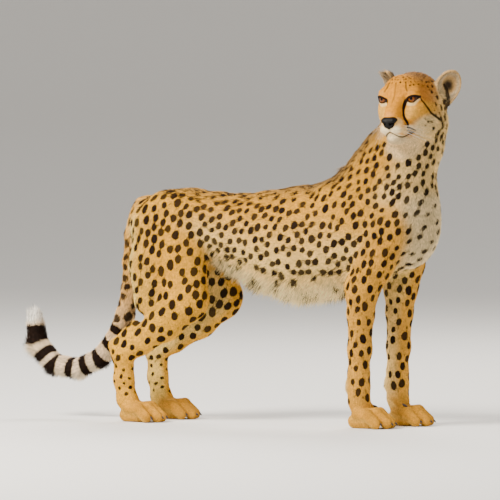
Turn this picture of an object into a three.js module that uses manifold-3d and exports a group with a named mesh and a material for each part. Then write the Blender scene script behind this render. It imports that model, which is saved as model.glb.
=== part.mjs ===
// A life-size standing cheetah, head turned to its right, as a still model.
// Millimetres. +X runs from tail to chest, +Y to the animal's left, +Z up, the floor is Z = 0.
// The body is one smooth field of blended muscle masses. Each named part is that field, meshed
// on its own grid and parted from its neighbours by flat cuts.

import * as THREE from "three";
import { mergeVertices } from "three/addons/utils/BufferGeometryUtils.js";
import { MeshoptSimplifier } from "three/addons/libs/meshopt_simplifier.module.js";
import Module from "manifold-3d";

const wasm = await Module();
wasm.setup();
await MeshoptSimplifier.ready;

// ---------------------------------------------------------------- driving dimensions

const WITHERS_HEIGHT = 683; // top of the shoulders over the floor
const CROUP_HEIGHT = 657; // top of the hips over the floor
const CUT_GAP = 0.5; // between two parts that meet
const FORE_HALF_TRACK = 77; // from the middle plane to a foreleg's axis
const HIND_HALF_TRACK = 84;
const LEFT_FORE_LEAD = 50; // how far the left foreleg stands ahead of the right one
const LEFT_HIND_LEAD = 26;
const SIDES = { right: -1, left: 1 };

const HEAD_ORIGIN = new THREE.Vector3(103, -104, 925); // between the eyes
const HEAD_TURN = THREE.MathUtils.degToRad(-96.5); // from straight ahead, to the animal's right
const HEAD_PITCH = THREE.MathUtils.degToRad(5); // nose down
const HEAD_ROLL = THREE.MathUtils.degToRad(2); // left ear up
const EYE_SPREAD = 45; // eyeball centre from the middle of the head
const EYE_RADIUS = 19;
const EYE_DEPTH = 14; // eyeball centre behind the head's origin
const EYE_DROP = 4; // and under it

const BLEND = 44; // how widely large masses melt into each other
const SOFT_BLEND = 16; // and small ones

// ---------------------------------------------------------------- masses
// A station is [x, y, z, depth, width]: a point of an oval limb, its half size in the plane
// of the stride and its half size to the side.

const TRUNK = [
  [-712, 0, 564, 50, 56],
  [-650, 0, 568, 76, 78],
  [-570, 0, CROUP_HEIGHT - 92, 92, 86],
  [-485, 0, 554, 95, 82],
  [-405, 0, 533, 115, 92],
  [-315, 0, 517, 142, 103],
  [-225, 0, 512, 160, 110],
  [-130, 0, WITHERS_HEIGHT - 161, 161, 106],
  [-45, 0, 548, 150, 99],
  [40, 0, 572, 128, 90],
];
const BREAST = { centre: [98, 0, 578], radii: [84, 82, 128] };
const NECK = [
  [-30, 0, 590, 138, 96],
  [36, 0, 692, 127, 90],
  [66, 0, 748, 112, 83],
  [102, 0, 804, 97, 78],
  [127, 0, 856, 80, 73],
  [130, -2, 900, 66, 68],
];
const TAIL_ROOT = [-716, 592];
const TAIL_STEP = 76; // length of one tail joint
// Direction of each tail joint in degrees: 180 is straight back, 270 straight down.
const TAIL_HEADINGS = [241, 262, 265, 257, 246, 230, 205, 172, 134, 98];
const TAIL_RADII = [46, 35, 31, 30, 31, 33, 35, 37, 39, 39, 27];

function foreleg(side) {
  const y = side * FORE_HALF_TRACK;
  const lead = side > 0 ? LEFT_FORE_LEAD : 0;
  const foot = -20 + lead;
  return {
    shoulder: [
      [-120, side * 48, 632, 52, 36],
      [-40, side * 66, 600, 74, 42],
      [58 + lead * 0.3, side * 66, 556, 64, 42],
    ],
    upperArm: [
      [58 + lead * 0.3, side * 66, 556, 62, 42],
      [20 + lead * 0.6, side * 74, 455, 56, 42],
      [foot + 4, y, 388, 47, 39],
    ],
    forearm: [
      [foot + 4, y, 392, 47, 38],
      [foot, y, 320, 40, 33],
      [foot - 3, y, 220, 35, 29],
      [foot - 6, y, 150, 31, 27],
      [foot - 6, y, 116, 32, 28],
      [foot - 5, y, 78, 30, 27],
      [foot + 3, y, 46, 29, 31],
    ],
    wristPad: [
      [foot - 30, y, 124, 14, 13],
      [foot - 36, y, 112, 12, 11],
    ],
    paw: [foot + 20, y],
  };
}

function hindLeg(side) {
  const y = side * HIND_HALF_TRACK;
  const lead = side > 0 ? LEFT_HIND_LEAD : 0;
  const knee = [-552 + lead, 354];
  const hock = [-752 + lead, 192];
  return {
    thigh: [
      [-622, side * 50, 572, 82, 50],
      [-596 + lead * 0.5, side * 64, 470, 94, 48],
      [knee[0], y, knee[1], 66, 41],
    ],
    buttock: [
      [-684, side * 42, 548, 54, 42],
      [-688 + lead * 0.5, side * 60, 440, 56, 40],
      [-676 + lead, side * 76, 346, 48, 33],
    ],
    shank: [
      [knee[0] - 6, y, knee[1] - 8, 62, 39],
      [-622 + lead, y, 284, 54, 35],
      [-700 + lead, y, 228, 39, 27],
      [hock[0], y, hock[1], 33, 24],
    ],
    heel: [
      [-718 + lead, y, 272, 19, 15],
      [-778 + lead, y, 214, 18, 15],
      [hock[0] - 14, y, hock[1] - 8, 24, 20],
    ],
    cannon: [
      [hock[0], y, hock[1], 34, 24],
      [-752 + lead, y, 118, 30, 23],
      [-742 + lead, y, 64, 29, 26],
      [-728 + lead, y, 44, 29, 30],
    ],
    paw: [-706 + lead, y],
  };
}

// A toe runs from the instep over its knuckle to its tip. Each is [ahead, out, up, depth, width]
// from the middle of the paw on the floor, with "out" away from the animal's middle.
const TOES = [
  [[-20, 23, 40, 18, 16], [14, 33, 38, 18, 13.5], [40, 37, 16, 18, 13.5]],
  [[-20, 8, 40, 18, 16], [34, 12, 42, 18, 13.5], [64, 13, 16, 18, 13.5]],
  [[-20, -8, 40, 18, 16], [34, -11, 42, 18, 13.5], [65, -12, 16, 18, 13.5]],
  [[-20, -22, 40, 18, 16], [16, -31, 38, 18, 13.5], [43, -34, 16, 18, 13.5]],
];
const DEWCLAW_TOE = [[-26, -20, 78, 14, 12], [-14, -30, 68, 11, 10], [-2, -33, 58, 10, 8]];
const SOLE = [[-36, 0, 19, 22, 25], [8, 0, 21, 26, 38]];
const CLAW = { length: 24, radius: 4.6, ahead: 11, up: -1, drop: 10 };

const onPaw = ([x, y], side, stations) =>
  stations.map(([ahead, out, up, ...radii]) => [x + ahead, y + side * out, up, ...radii]);

// The head's masses in its own frame: forward, left, up from the point between the eyes.
const HEAD_BALLS = [
  { at: [-86, 0, -2], radii: [72, 72, 66] }, // braincase
  { at: [-38, 0, 12], radii: [48, 60, 51] }, // forehead
  { at: [-14, 38, 14], radii: [21, 28, 15], pair: true }, // brow
  { at: [-42, 46, -31], radii: [48, 35, 46], pair: true }, // cheekbone
  { at: [-18, 36, -52], radii: [36, 31, 38], pair: true }, // cheek
  { at: [-66, 46, -60], radii: [44, 36, 48], pair: true }, // ruff of the cheek
  { at: [-112, 0, -34], radii: [46, 64, 62] }, // nape
  { at: [18, 0, -73], radii: [40, 38, 34] }, // muzzle
  { at: [33, 19, -84], radii: [22, 22, 19], pair: true }, // whisker pad
  { at: [22, 0, -112], radii: [25, 23, 16] }, // chin
  { at: [-34, 0, -92], radii: [52, 46, 36] }, // throat
];
const HEAD_LIMBS = [
  [[-14, 0, 1, 26, 31], [26, 0, -36, 22, 24], [42, 0, -55, 17, 22]], // bridge of the nose
  [[-60, 40, -76, 28, 20], [16, 13, -110, 16, 15]], // jaw, left
  [[-60, -40, -76, 28, 20], [16, -13, -110, 16, 15]], // jaw, right
];
const EYE_SOCKET = { at: [18, 52, -EYE_DROP - 1], radii: [22, 24, 14] };
const NOSE = { at: [52, 0, -64], radii: [14, 26, 17] };
const EAR = {
  at: [-126, 90, 14],
  up: [-0.22, 0.42, 0.87],
  face: [0.72, 0.69, -0.1],
  radii: [17, 38, 53], // along the direction it faces, across, up
  bowlRadii: [16, 32, 45],
  bowlForward: 10, // how far the bowl's middle is ahead of the ear's
};

// ---------------------------------------------------------------- the smooth field

function smoothMin(a, b, k) {
  const h = Math.max(k - Math.abs(a - b), 0) / k;
  return Math.min(a, b) - (h * h * k) / 4;
}

// The distance to an oval along the ray from its centre, given how many radii away the point is.
function ovalDistance(length, radiiAway, leastRadius) {
  return radiiAway < 1e-6 ? -leastRadius : length * (1 - 1 / radiiAway);
}

function limbDistance(p, a, b) {
  const ab = [b[0] - a[0], b[1] - a[1], b[2] - a[2]];
  const ap = [p[0] - a[0], p[1] - a[1], p[2] - a[2]];
  const along = ap[0] * ab[0] + ap[1] * ab[1] + ap[2] * ab[2];
  const t = Math.min(Math.max(along / (ab[0] ** 2 + ab[1] ** 2 + ab[2] ** 2), 0), 1);
  const v = [ap[0] - t * ab[0], ap[1] - t * ab[1], ap[2] - t * ab[2]];
  const depth = a[3] + t * (b[3] - a[3]);
  const width = a[4] + t * (b[4] - a[4]);
  const radiiAway = Math.hypot(v[0] / depth, v[1] / width, v[2] / depth);
  return ovalDistance(Math.hypot(...v), radiiAway, Math.min(depth, width));
}

function chainDistance(p, stations, blend = SOFT_BLEND) {
  let d = limbDistance(p, stations[0], stations[1]);
  for (let i = 1; i + 1 < stations.length; i++)
    d = smoothMin(d, limbDistance(p, stations[i], stations[i + 1]), blend);
  return d;
}

function ballDistance(p, centre, radii) {
  const v = [p[0] - centre[0], p[1] - centre[1], p[2] - centre[2]];
  const radiiAway = Math.hypot(v[0] / radii[0], v[1] / radii[1], v[2] / radii[2]);
  return ovalDistance(Math.hypot(...v), radiiAway, Math.min(...radii));
}

// The head's frame: its x, y and z axes are the head's forward, left and up.
const headFrame = new THREE.Matrix4()
  .makeTranslation(HEAD_ORIGIN)
  .multiply(new THREE.Matrix4().makeRotationZ(HEAD_TURN))
  .multiply(new THREE.Matrix4().makeRotationY(HEAD_PITCH))
  .multiply(new THREE.Matrix4().makeRotationX(HEAD_ROLL));
const toHead = headFrame.clone().invert();
const inHead = (p) => new THREE.Vector3(...p).applyMatrix4(toHead).toArray();
const placedInHead = (at) => headFrame.clone().multiply(new THREE.Matrix4().makeTranslation(...at));

function headDistance(p) {
  const q = inHead(p);
  const mirrored = [q[0], Math.abs(q[1]), q[2]];
  let d = 1e3;
  for (const { at, radii, pair } of HEAD_BALLS)
    d = smoothMin(d, ballDistance(pair ? mirrored : q, at, radii), SOFT_BLEND);
  for (const limb of HEAD_LIMBS) d = smoothMin(d, chainDistance(q, limb, 8), SOFT_BLEND);
  return -smoothMin(-d, ballDistance(mirrored, EYE_SOCKET.at, EYE_SOCKET.radii), SOFT_BLEND / 2);
}

function tailStations() {
  let [x, z] = TAIL_ROOT;
  const stations = [[x, 0, z, TAIL_RADII[0], TAIL_RADII[0]]];
  TAIL_HEADINGS.forEach((heading, i) => {
    const angle = THREE.MathUtils.degToRad(heading);
    x += TAIL_STEP * Math.cos(angle);
    z += TAIL_STEP * Math.sin(angle);
    stations.push([x, 0, z, TAIL_RADII[i + 1], TAIL_RADII[i + 1]]);
  });
  return stations;
}

// A mass is a distance and how widely it blends into the masses before it.
const mass = (distance, blend) => ({ distance, blend });
const chain = (stations, blend, inner) => mass((p) => chainDistance(p, stations, inner), blend);
const fieldOf = (masses) => (p) => masses.reduce((d, m) => smoothMin(d, m.distance(p), m.blend), 1e3);

const tail = tailStations();
const legs = Object.entries(SIDES).map(([name, side]) => ({
  name,
  side,
  fore: foreleg(side),
  hind: hindLeg(side),
}));
const trunkMasses = [
  chain(TRUNK, SOFT_BLEND),
  mass((p) => ballDistance(p, BREAST.centre, BREAST.radii), BLEND),
];
const torsoMasses = [
  ...trunkMasses,
  chain(NECK, BLEND * 1.4),
  ...legs.flatMap(({ fore, hind }) => [
    chain(fore.shoulder, BLEND / 2),
    chain(fore.upperArm, BLEND * 0.7),
    chain(hind.thigh, BLEND),
    chain(hind.buttock, BLEND),
  ]),
];
const tailMass = chain(tail, BLEND * 0.7, 10);
const headMass = mass(headDistance, BLEND);

function pawMasses(paw, side, toes) {
  const blend = SOFT_BLEND / 2;
  const sole = chain(onPaw(paw, side, SOLE), blend, blend);
  return [sole, ...toes.map((toe) => chain(onPaw(paw, side, toe), blend, 6))];
}

const forelegMasses = ({ fore, side }) => [
  ...torsoMasses,
  chain(fore.forearm, BLEND * 0.6),
  chain(fore.wristPad, SOFT_BLEND),
  ...pawMasses(fore.paw, side, [...TOES, DEWCLAW_TOE]),
];
const hindLegMasses = ({ hind, side }) => [
  ...torsoMasses,
  chain(hind.shank, BLEND / 2),
  chain(hind.heel, SOFT_BLEND),
  chain(hind.cannon, SOFT_BLEND / 2),
  ...pawMasses(hind.paw, side, TOES),
];

// ---------------------------------------------------------------- meshing

const CELL_CORNERS = [0, 1, 2, 3, 4, 5, 6, 7].map((n) => [n & 1, (n >> 1) & 1, n >> 2]);
// Six tetrahedra fill a cell, all round its diagonal from corner 0 to corner 7.
const TETRAHEDRA = [[1, 3], [3, 2], [2, 6], [6, 4], [4, 5], [5, 1]].map(([a, b]) => [0, a, b, 7]);

// The closed surface where the field is zero, by marching tetrahedra over a grid of the given
// steps, thinned to about the given number of facets.
function meshField(field, { low, high, step, facets }) {
  const count = low.map((l, axis) => Math.ceil((high[axis] - l) / step[axis]) + 1);
  const layer = count[0] * count[1];
  const total = layer * count[2];
  const cellOf = (n) => [n % count[0], Math.floor(n / count[0]) % count[1], Math.floor(n / layer)];
  const place = (n) => cellOf(n).map((c, axis) => low[axis] + c * step[axis]);
  const values = new Float64Array(total);
  for (let n = 0; n < total; n++) {
    const onRim = cellOf(n).some((c, axis) => c === 0 || c === count[axis] - 1);
    values[n] = onRim ? Math.max(field(place(n)), 1) : field(place(n));
  }

  const positions = [];
  const crossings = new Map();
  const crossing = (a, b) => {
    const key = a * total + b;
    if (!crossings.has(key)) {
      crossings.set(key, positions.length / 3);
      positions.push(...surfacePoint(field, place(a), place(b), values[a], values[b]));
    }
    return crossings.get(key);
  };
  const triangles = [];
  const addFacet = (corners, outward) => {
    const [a, b, c] = corners.map((n) => new THREE.Vector3().fromArray(positions, 3 * n));
    const facesOut = b.sub(a).cross(c.sub(a)).dot(outward) > 0;
    triangles.push(...(facesOut ? corners : [corners[0], corners[2], corners[1]]));
  };

  const offsets = CELL_CORNERS.map(([i, j, k]) => i + count[0] * j + layer * k);
  for (let n = 0; n < total; n++) {
    if (cellOf(n).some((c, axis) => c === count[axis] - 1)) continue;
    for (const tetrahedron of TETRAHEDRA) {
      const corners = tetrahedron.map((c) => n + offsets[c]);
      const inside = corners.filter((c) => values[c] < 0);
      const outside = corners.filter((c) => values[c] >= 0);
      if (!inside.length || !outside.length) continue;
      const outward = middleOf(outside.map(place)).sub(middleOf(inside.map(place)));
      const points = inside.flatMap((a) => outside.map((b) => crossing(a, b)));
      addFacet(points.slice(0, 3), outward);
      if (points.length === 4) addFacet([points[1], points[3], points[2]], outward);
    }
  }
  const vertices = new Float32Array(positions);
  const kept = MeshoptSimplifier.simplify(new Uint32Array(triangles), vertices, 3, facets * 3, 1)[0];
  return solidFrom(vertices, kept);
}

function middleOf(points) {
  const sum = new THREE.Vector3();
  for (const point of points) sum.add(new THREE.Vector3(...point));
  return sum.divideScalar(points.length);
}

// Where the field is zero on the line from a point inside to a point outside, kept a little
// off both ends so that no facet is a sliver.
function surfacePoint(field, inside, outside, valueInside, valueOutside) {
  let [near, far, atNear, atFar] = [0, 1, valueInside, valueOutside];
  const crossing = () => near + ((far - near) * atNear) / (atNear - atFar);
  const between = (t) => inside.map((v, axis) => v + t * (outside[axis] - v));
  for (let round = 0; round < 4; round++) {
    const t = crossing();
    const value = field(between(t));
    if (value < 0) [near, atNear] = [t, value];
    else [far, atFar] = [t, value];
  }
  return between(THREE.MathUtils.clamp(crossing(), 0.03, 0.97));
}

function solidFrom(positions, triangles) {
  const vertProperties = new Float32Array(positions);
  const triVerts = new Uint32Array(triangles);
  return new wasm.Manifold(new wasm.Mesh({ numProp: 3, vertProperties, triVerts }));
}

function geometryOf(solid) {
  const { vertProperties, numProp, triVerts, numVert } = solid.getMesh();
  const positions = new Float32Array(numVert * 3);
  for (let i = 0; i < numVert; i++)
    positions.set(vertProperties.subarray(i * numProp, i * numProp + 3), i * 3);
  return new THREE.BufferGeometry()
    .setAttribute("position", new THREE.BufferAttribute(positions, 3))
    .setIndex(new THREE.BufferAttribute(new Uint32Array(triVerts), 1));
}

// A closed three.js shape, placed, as a solid that can be cut.
function solidOf(geometry, matrix) {
  const bare = geometry.clone().applyMatrix4(matrix).deleteAttribute("normal").deleteAttribute("uv");
  const merged = mergeVertices(bare, 1e-3);
  const corners = merged.index.array;
  const kept = [];
  for (let i = 0; i < corners.length; i += 3) {
    const triangle = corners.slice(i, i + 3);
    if (new Set(triangle).size === 3) kept.push(...triangle);
  }
  return solidFrom(merged.attributes.position.array, kept);
}

// The solid swollen by the gap, which makes room for it in its neighbour.
function swollen(solid) {
  const geometry = geometryOf(solid);
  geometry.computeVertexNormals();
  const { position, normal } = geometry.attributes;
  const moved = position.array.map((v, i) => v + CUT_GAP * normal.array[i]);
  return solidFrom(moved, geometry.index.array);
}

// ---------------------------------------------------------------- cuts

// A cut is a plane, given by a point and by the direction in which the further part lies.
const vector = (xyz) => new THREE.Vector3(...xyz);
const cut = (point, direction) => ({ point: vector(point), direction: vector(direction).normalize() });
const nearSide = ({ point, direction }) => ({ point, direction: direction.clone().negate() });

function keptBeyond(solid, cuts) {
  const trim = (s, { point, direction }) =>
    s.trimByPlane(direction.toArray(), direction.dot(point) + CUT_GAP / 2);
  const pieces = cuts.reduce(trim, solid).decompose();
  return pieces.sort((a, b) => b.volume() - a.volume())[0];
}

const neckCut = cut([40, 0, 700], [0.42, 0, 0.907]);
const headCut = {
  point: vector([-15, 0, -122]).applyMatrix4(headFrame),
  direction: vector([0.48, 0, 0.877]).transformDirection(headFrame),
};
const foreCut = cut([-15, 0, 402], [0.31, 0, -0.951]);
const hindCut = cut([-605, 0, 492], [-0.51, 0, -0.86]);
const wristCut = cut([0, 0, 96], [0, 0, -1]);
const kneeCut = (lead) => cut([-592 + lead, 0, 326], [-0.72, 0, -0.69]);
const hockCut = cut([0, 0, 150], [0, 0, -1]);
const outsideCut = (side) => cut([0, 0, 0], [0, side, 0]);
const TAIL_JOINTS = [1, 3, 6, 8]; // the tail stations at which its lengths begin
const tailCuts = TAIL_JOINTS.map((n, i) => {
  const along = i === 0 ? [-0.97, 0, -0.24] : [tail[n][0] - tail[n - 1][0], 0, tail[n][2] - tail[n - 1][2]];
  return cut([tail[n][0], 0, tail[n][2]], along);
});

// ---------------------------------------------------------------- parts

const COLOR = {
  gold: 0xd9a45f,
  buff: 0xe3bb7e,
  pale: 0xf0e2c4,
  claw: 0x2a2420,
  amber: 0xa8641f,
  nose: 0x1b1614,
};
const animal = new THREE.Group();

function add(name, solid, color = COLOR.gold, roughness = 0.85) {
  const look = new THREE.MeshStandardMaterial({ color, roughness, metalness: 0 });
  const mesh = new THREE.Mesh(geometryOf(solid), look);
  mesh.name = name;
  animal.add(mesh);
}

function addTorso() {
  const trunkGrid = { low: [-800, -190, 300], high: [260, 190, 780], step: [28, 20, 22], facets: 1100 };
  const trunk = meshField(fieldOf([...torsoMasses, tailMass]), trunkGrid);
  add("trunk", keptBeyond(trunk, [neckCut, foreCut, hindCut, tailCuts[0]].map(nearSide)));

  const neckGrid = { low: [-260, -180, 560], high: [290, 150, 1000], step: [18, 18, 18], facets: 560 };
  const neck = meshField(fieldOf([...torsoMasses, headMass]), neckGrid);
  add("neck", keptBeyond(neck, [neckCut, nearSide(headCut)]));
}

function addTail() {
  const field = fieldOf([...trunkMasses, tailMass]);
  const reach = 62;
  ["root", "middle", "lower", "tip"].forEach((length, n) => {
    const last = n + 1 === TAIL_JOINTS.length;
    const span = tail.slice(Math.max(TAIL_JOINTS[n] - 2, 0), last ? undefined : TAIL_JOINTS[n + 1] + 2);
    const box = new THREE.Box3().setFromPoints(span.map(([x, y, z]) => vector([x, y, z])));
    box.expandByScalar(reach);
    const grid = { low: box.min.toArray(), high: box.max.toArray(), step: [13, 13, 13], facets: 200 };
    const cuts = last ? [tailCuts[n]] : [tailCuts[n], nearSide(tailCuts[n + 1])];
    add(`tail_${length}`, keptBeyond(meshField(field, grid), cuts), last ? COLOR.pale : COLOR.buff);
  });
}

function clawSolid([x, y], side, toe) {
  const [ahead, out, up] = toe.at(-1);
  const middle = vector([x + ahead + CLAW.ahead, y + side * out, up + CLAW.up]);
  const along = vector([CLAW.length, 0, -CLAW.drop]).normalize();
  const turn = new THREE.Quaternion().setFromUnitVectors(new THREE.Vector3(0, 1, 0), along);
  const placed = new THREE.Matrix4().compose(middle, turn, new THREE.Vector3(1, 1, 1));
  return solidOf(new THREE.ConeGeometry(CLAW.radius, CLAW.length, 6, 1), placed);
}

// A paw with its claws, standing on the floor on a small flat.
function addPaw(name, masses, { paw, side, toes, topCut }) {
  const [x, y] = paw;
  const top = topCut.point.z + 40;
  const grid = { low: [x - 95, y - 64, -14], high: [x + 96, y + 64, top], step: [9, 8, 9], facets: 490 };
  let solid = keptBeyond(meshField(fieldOf(masses), grid), [topCut]).trimByPlane([0, 0, 1], 0);
  toes.forEach((toe, n) => {
    const claw = clawSolid(paw, side, toe);
    solid = solid.subtract(swollen(claw));
    add(`claw_${name}_${n + 1}`, claw, COLOR.claw, 0.4);
  });
  add(name, keptBeyond(solid, []));
}

function addForeleg(leg) {
  const { name, side, fore } = leg;
  const masses = forelegMasses(leg);
  const x = fore.paw[0];
  const [inner, outer] = side > 0 ? [-24, 170] : [-170, 24];
  const grid = { low: [x - 140, inner, 60], high: [x + 150, outer, 490], step: [12, 11, 15], facets: 400 };
  const solid = meshField(fieldOf(masses), grid);
  add(`foreleg_${name}`, keptBeyond(solid, [foreCut, nearSide(wristCut), outsideCut(side)]));
  const toes = [...TOES, DEWCLAW_TOE];
  addPaw(`forepaw_${name}`, masses, { paw: fore.paw, side, toes, topCut: wristCut });
}

function addHindLeg(leg) {
  const { name, side, hind } = leg;
  const masses = hindLegMasses(leg);
  const field = fieldOf(masses);
  const knee = kneeCut(side > 0 ? LEFT_HIND_LEAD : 0);
  const [inner, outer] = side > 0 ? [-24, 170] : [-170, 24];
  const thighGrid = { low: [-800, inner, 200], high: [-420, outer, 620], step: [18, 15, 18], facets: 500 };
  const thigh = keptBeyond(meshField(field, thighGrid), [hindCut, outsideCut(side)]);
  add(`thigh_${name}`, keptBeyond(thigh, [nearSide(knee), nearSide(tailCuts[0])]));
  const shankGrid = { low: [-840, inner, 110], high: [-420, outer, 440], step: [13, 11, 13], facets: 500 };
  const shank = keptBeyond(meshField(field, shankGrid), [knee, nearSide(hockCut), outsideCut(side)]);
  add(`shank_${name}`, shank);
  addPaw(`hindpaw_${name}`, masses, { paw: hind.paw, side, toes: TOES, topCut: hockCut });
}

function earSolid(side) {
  const toSide = ([x, y, z]) => vector([x, side * y, z]);
  const up = toSide(EAR.up).normalize();
  const face = toSide(EAR.face);
  face.addScaledVector(up, -face.dot(up)).normalize();
  const across = new THREE.Vector3().crossVectors(up, face);
  const oval = (p, centre, radii) => {
    const v = vector(p).sub(centre);
    return ballDistance([v.dot(face), v.dot(across), v.dot(up)], [0, 0, 0], radii);
  };
  const middle = toSide(EAR.at);
  const bowl = middle.clone().addScaledVector(face, EAR.bowlForward);
  const field = (p) => {
    const q = inHead(p);
    return -smoothMin(-oval(q, middle, EAR.radii), oval(q, bowl, EAR.bowlRadii), 3);
  };
  const centre = middle.clone().applyMatrix4(headFrame).toArray();
  const [low, high] = [-72, 72].map((reach) => centre.map((c) => c + reach));
  return meshField(field, { low, high, step: [6, 6, 6], facets: 290 });
}

function addHead() {
  const grid = { low: [-20, -225, 740], high: [240, 120, 1040], step: [8, 8, 8], facets: 1600 };
  const whole = meshField(fieldOf([chain(NECK, SOFT_BLEND), headMass]), grid);
  let head = keptBeyond(whole, [headCut]);
  const roomForHead = swollen(head);
  for (const [name, side] of Object.entries(SIDES)) {
    add(`ear_${name}`, earSolid(side).subtract(roomForHead), COLOR.buff);
    const eyeball = new THREE.SphereGeometry(EYE_RADIUS, 14, 8);
    const eye = solidOf(eyeball, placedInHead([-EYE_DEPTH, side * EYE_SPREAD, -EYE_DROP]));
    head = head.subtract(swollen(eye));
    add(`eye_${name}`, eye, COLOR.amber, 0.15);
  }
  const nose = solidOf(new THREE.SphereGeometry(1, 12, 8).scale(...NOSE.radii), placedInHead(NOSE.at));
  add("nose", nose, COLOR.nose, 0.5);
  add("head", head.subtract(swollen(nose)));
}

addTorso();
addTail();
legs.forEach(addForeleg);
legs.forEach(addHindLeg);
addHead();

// The part's origin is the middle of its box, on the floor.
const box = new THREE.Box3().setFromObject(animal);
const middle = box.getCenter(new THREE.Vector3());
animal.position.set(-middle.x, -middle.y, -box.min.z);

export default animal;
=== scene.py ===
"""A life-size standing cheetah, its head turned back over its right shoulder.

One skin replaces the CAD's nodes of flesh. It is the same smooth field of blended masses as
the CAD's solids, taken in by the depth of the coat, with lids, lips and toes cut finer. Tufts of
solid mesh grow from it along the lie of the coat and carry the same markings. Shapes are worked
out in millimetres in the animal's own frame, and every mesh is made in metres in the row frame.
"""

import math

import bpy
import numpy as np
from mathutils import Matrix, Vector


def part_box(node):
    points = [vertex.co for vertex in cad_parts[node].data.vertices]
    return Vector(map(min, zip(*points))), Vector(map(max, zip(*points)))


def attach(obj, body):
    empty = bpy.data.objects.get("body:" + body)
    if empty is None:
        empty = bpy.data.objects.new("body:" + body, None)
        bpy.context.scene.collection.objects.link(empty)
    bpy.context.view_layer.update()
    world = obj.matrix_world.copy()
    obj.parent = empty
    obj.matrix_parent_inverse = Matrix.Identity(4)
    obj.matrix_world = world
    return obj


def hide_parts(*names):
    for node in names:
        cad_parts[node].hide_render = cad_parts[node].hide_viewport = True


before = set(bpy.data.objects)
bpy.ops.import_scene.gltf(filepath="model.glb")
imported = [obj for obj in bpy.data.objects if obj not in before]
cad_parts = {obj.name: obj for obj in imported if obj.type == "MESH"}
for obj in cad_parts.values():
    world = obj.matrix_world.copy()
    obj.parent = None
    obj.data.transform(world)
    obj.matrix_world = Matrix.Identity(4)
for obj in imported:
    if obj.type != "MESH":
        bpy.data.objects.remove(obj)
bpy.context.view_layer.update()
MM = 0.001
FAR = 1e3
CORNERS = np.array([[x, y, z] for x in (0, 1) for y in (0, 1) for z in (0, 1)])

# ------------------------------------------------------------------ driving dimensions

WITHERS_HEIGHT = 683
CROUP_HEIGHT = 657
FORE_HALF_TRACK = 77
HIND_HALF_TRACK = 84
LEFT_FORE_LEAD = 50
LEFT_HIND_LEAD = 26
HEAD_ORIGIN = np.array([103.0, -104.0, 925.0])
HEAD_TURN, HEAD_PITCH, HEAD_ROLL = -96.5, 5, 2
EYE_RADIUS = 19
EYE_AT = np.array([-14.0, 45.0, -4.0])
BLEND = 44
SOFT_BLEND = 16


def turned(axis, degrees):
    return np.array(Matrix.Rotation(math.radians(degrees), 3, axis))


HEAD_AXES = turned("Z", HEAD_TURN) @ turned("Y", HEAD_PITCH) @ turned("X", HEAD_ROLL)


def to_head(points):
    """The head's own coordinates: forward, left and up from between the eyes."""
    return (points - HEAD_ORIGIN) @ HEAD_AXES


def from_head(points):
    return HEAD_ORIGIN + np.asarray(points, float) @ HEAD_AXES.T


def find_shift():
    """The animal's frame to the row frame, from where the CAD has the left eye."""
    low, high = (np.array(corner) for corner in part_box("eye_left"))
    return (low + high) / 2 - from_head(EYE_AT) * MM


SHIFT = find_shift()


def to_row(points):
    return np.asarray(points) * MM + SHIFT


# ------------------------------------------------------------------ masses
# A station is x, y, z, half depth, half width, and the depth of the coat over it.

TRUNK = [
    [-712, 0, 564, 50, 56, 6], [-650, 0, 568, 76, 78, 6],
    [-570, 0, CROUP_HEIGHT - 92, 92, 86, 5], [-485, 0, 554, 95, 82, 5],
    [-405, 0, 533, 115, 92, 5], [-315, 0, 517, 142, 103, 5], [-225, 0, 512, 160, 110, 5],
    [-130, 0, WITHERS_HEIGHT - 161, 161, 106, 5], [-45, 0, 548, 150, 99, 6],
    [40, 0, 572, 128, 90, 6],
]
BREAST = {"at": [98, 0, 578], "radii": [84, 82, 128], "coat": 8}
NECK = [
    [-30, 0, 590, 138, 96, 6], [36, 0, 692, 127, 90, 7], [66, 0, 748, 112, 83, 7],
    [102, 0, 804, 97, 78, 8], [127, 0, 856, 80, 73, 8], [130, -2, 900, 66, 68, 8],
]
TAIL_ROOT = (-716, 592)
TAIL_STEP = 76
TAIL_HEADINGS = [241, 262, 265, 257, 246, 230, 205, 172, 134, 98]
TAIL_RADII = [46, 35, 31, 30, 31, 33, 35, 37, 39, 39, 27]
TAIL_COAT = [6, 6, 6, 8, 10, 12, 14, 15, 17, 18, 14]
TOES = [
    [[-20, 23, 40, 18, 16], [14, 33, 38, 18, 13.5], [40, 37, 16, 18, 13.5]],
    [[-20, 8, 40, 18, 16], [34, 12, 42, 18, 13.5], [64, 13, 16, 18, 13.5]],
    [[-20, -8, 40, 18, 16], [34, -11, 42, 18, 13.5], [65, -12, 16, 18, 13.5]],
    [[-20, -22, 40, 18, 16], [16, -31, 38, 18, 13.5], [43, -34, 16, 18, 13.5]],
]
DEWCLAW_TOE = [[-26, -20, 78, 14, 12], [-14, -30, 68, 11, 10], [-2, -33, 58, 10, 8]]
PAW_TOP = 64
SOLE = [[-36, 0, 19, 22, 25], [8, 0, 21, 26, 38]]
PAW_COAT = 2.2

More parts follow.
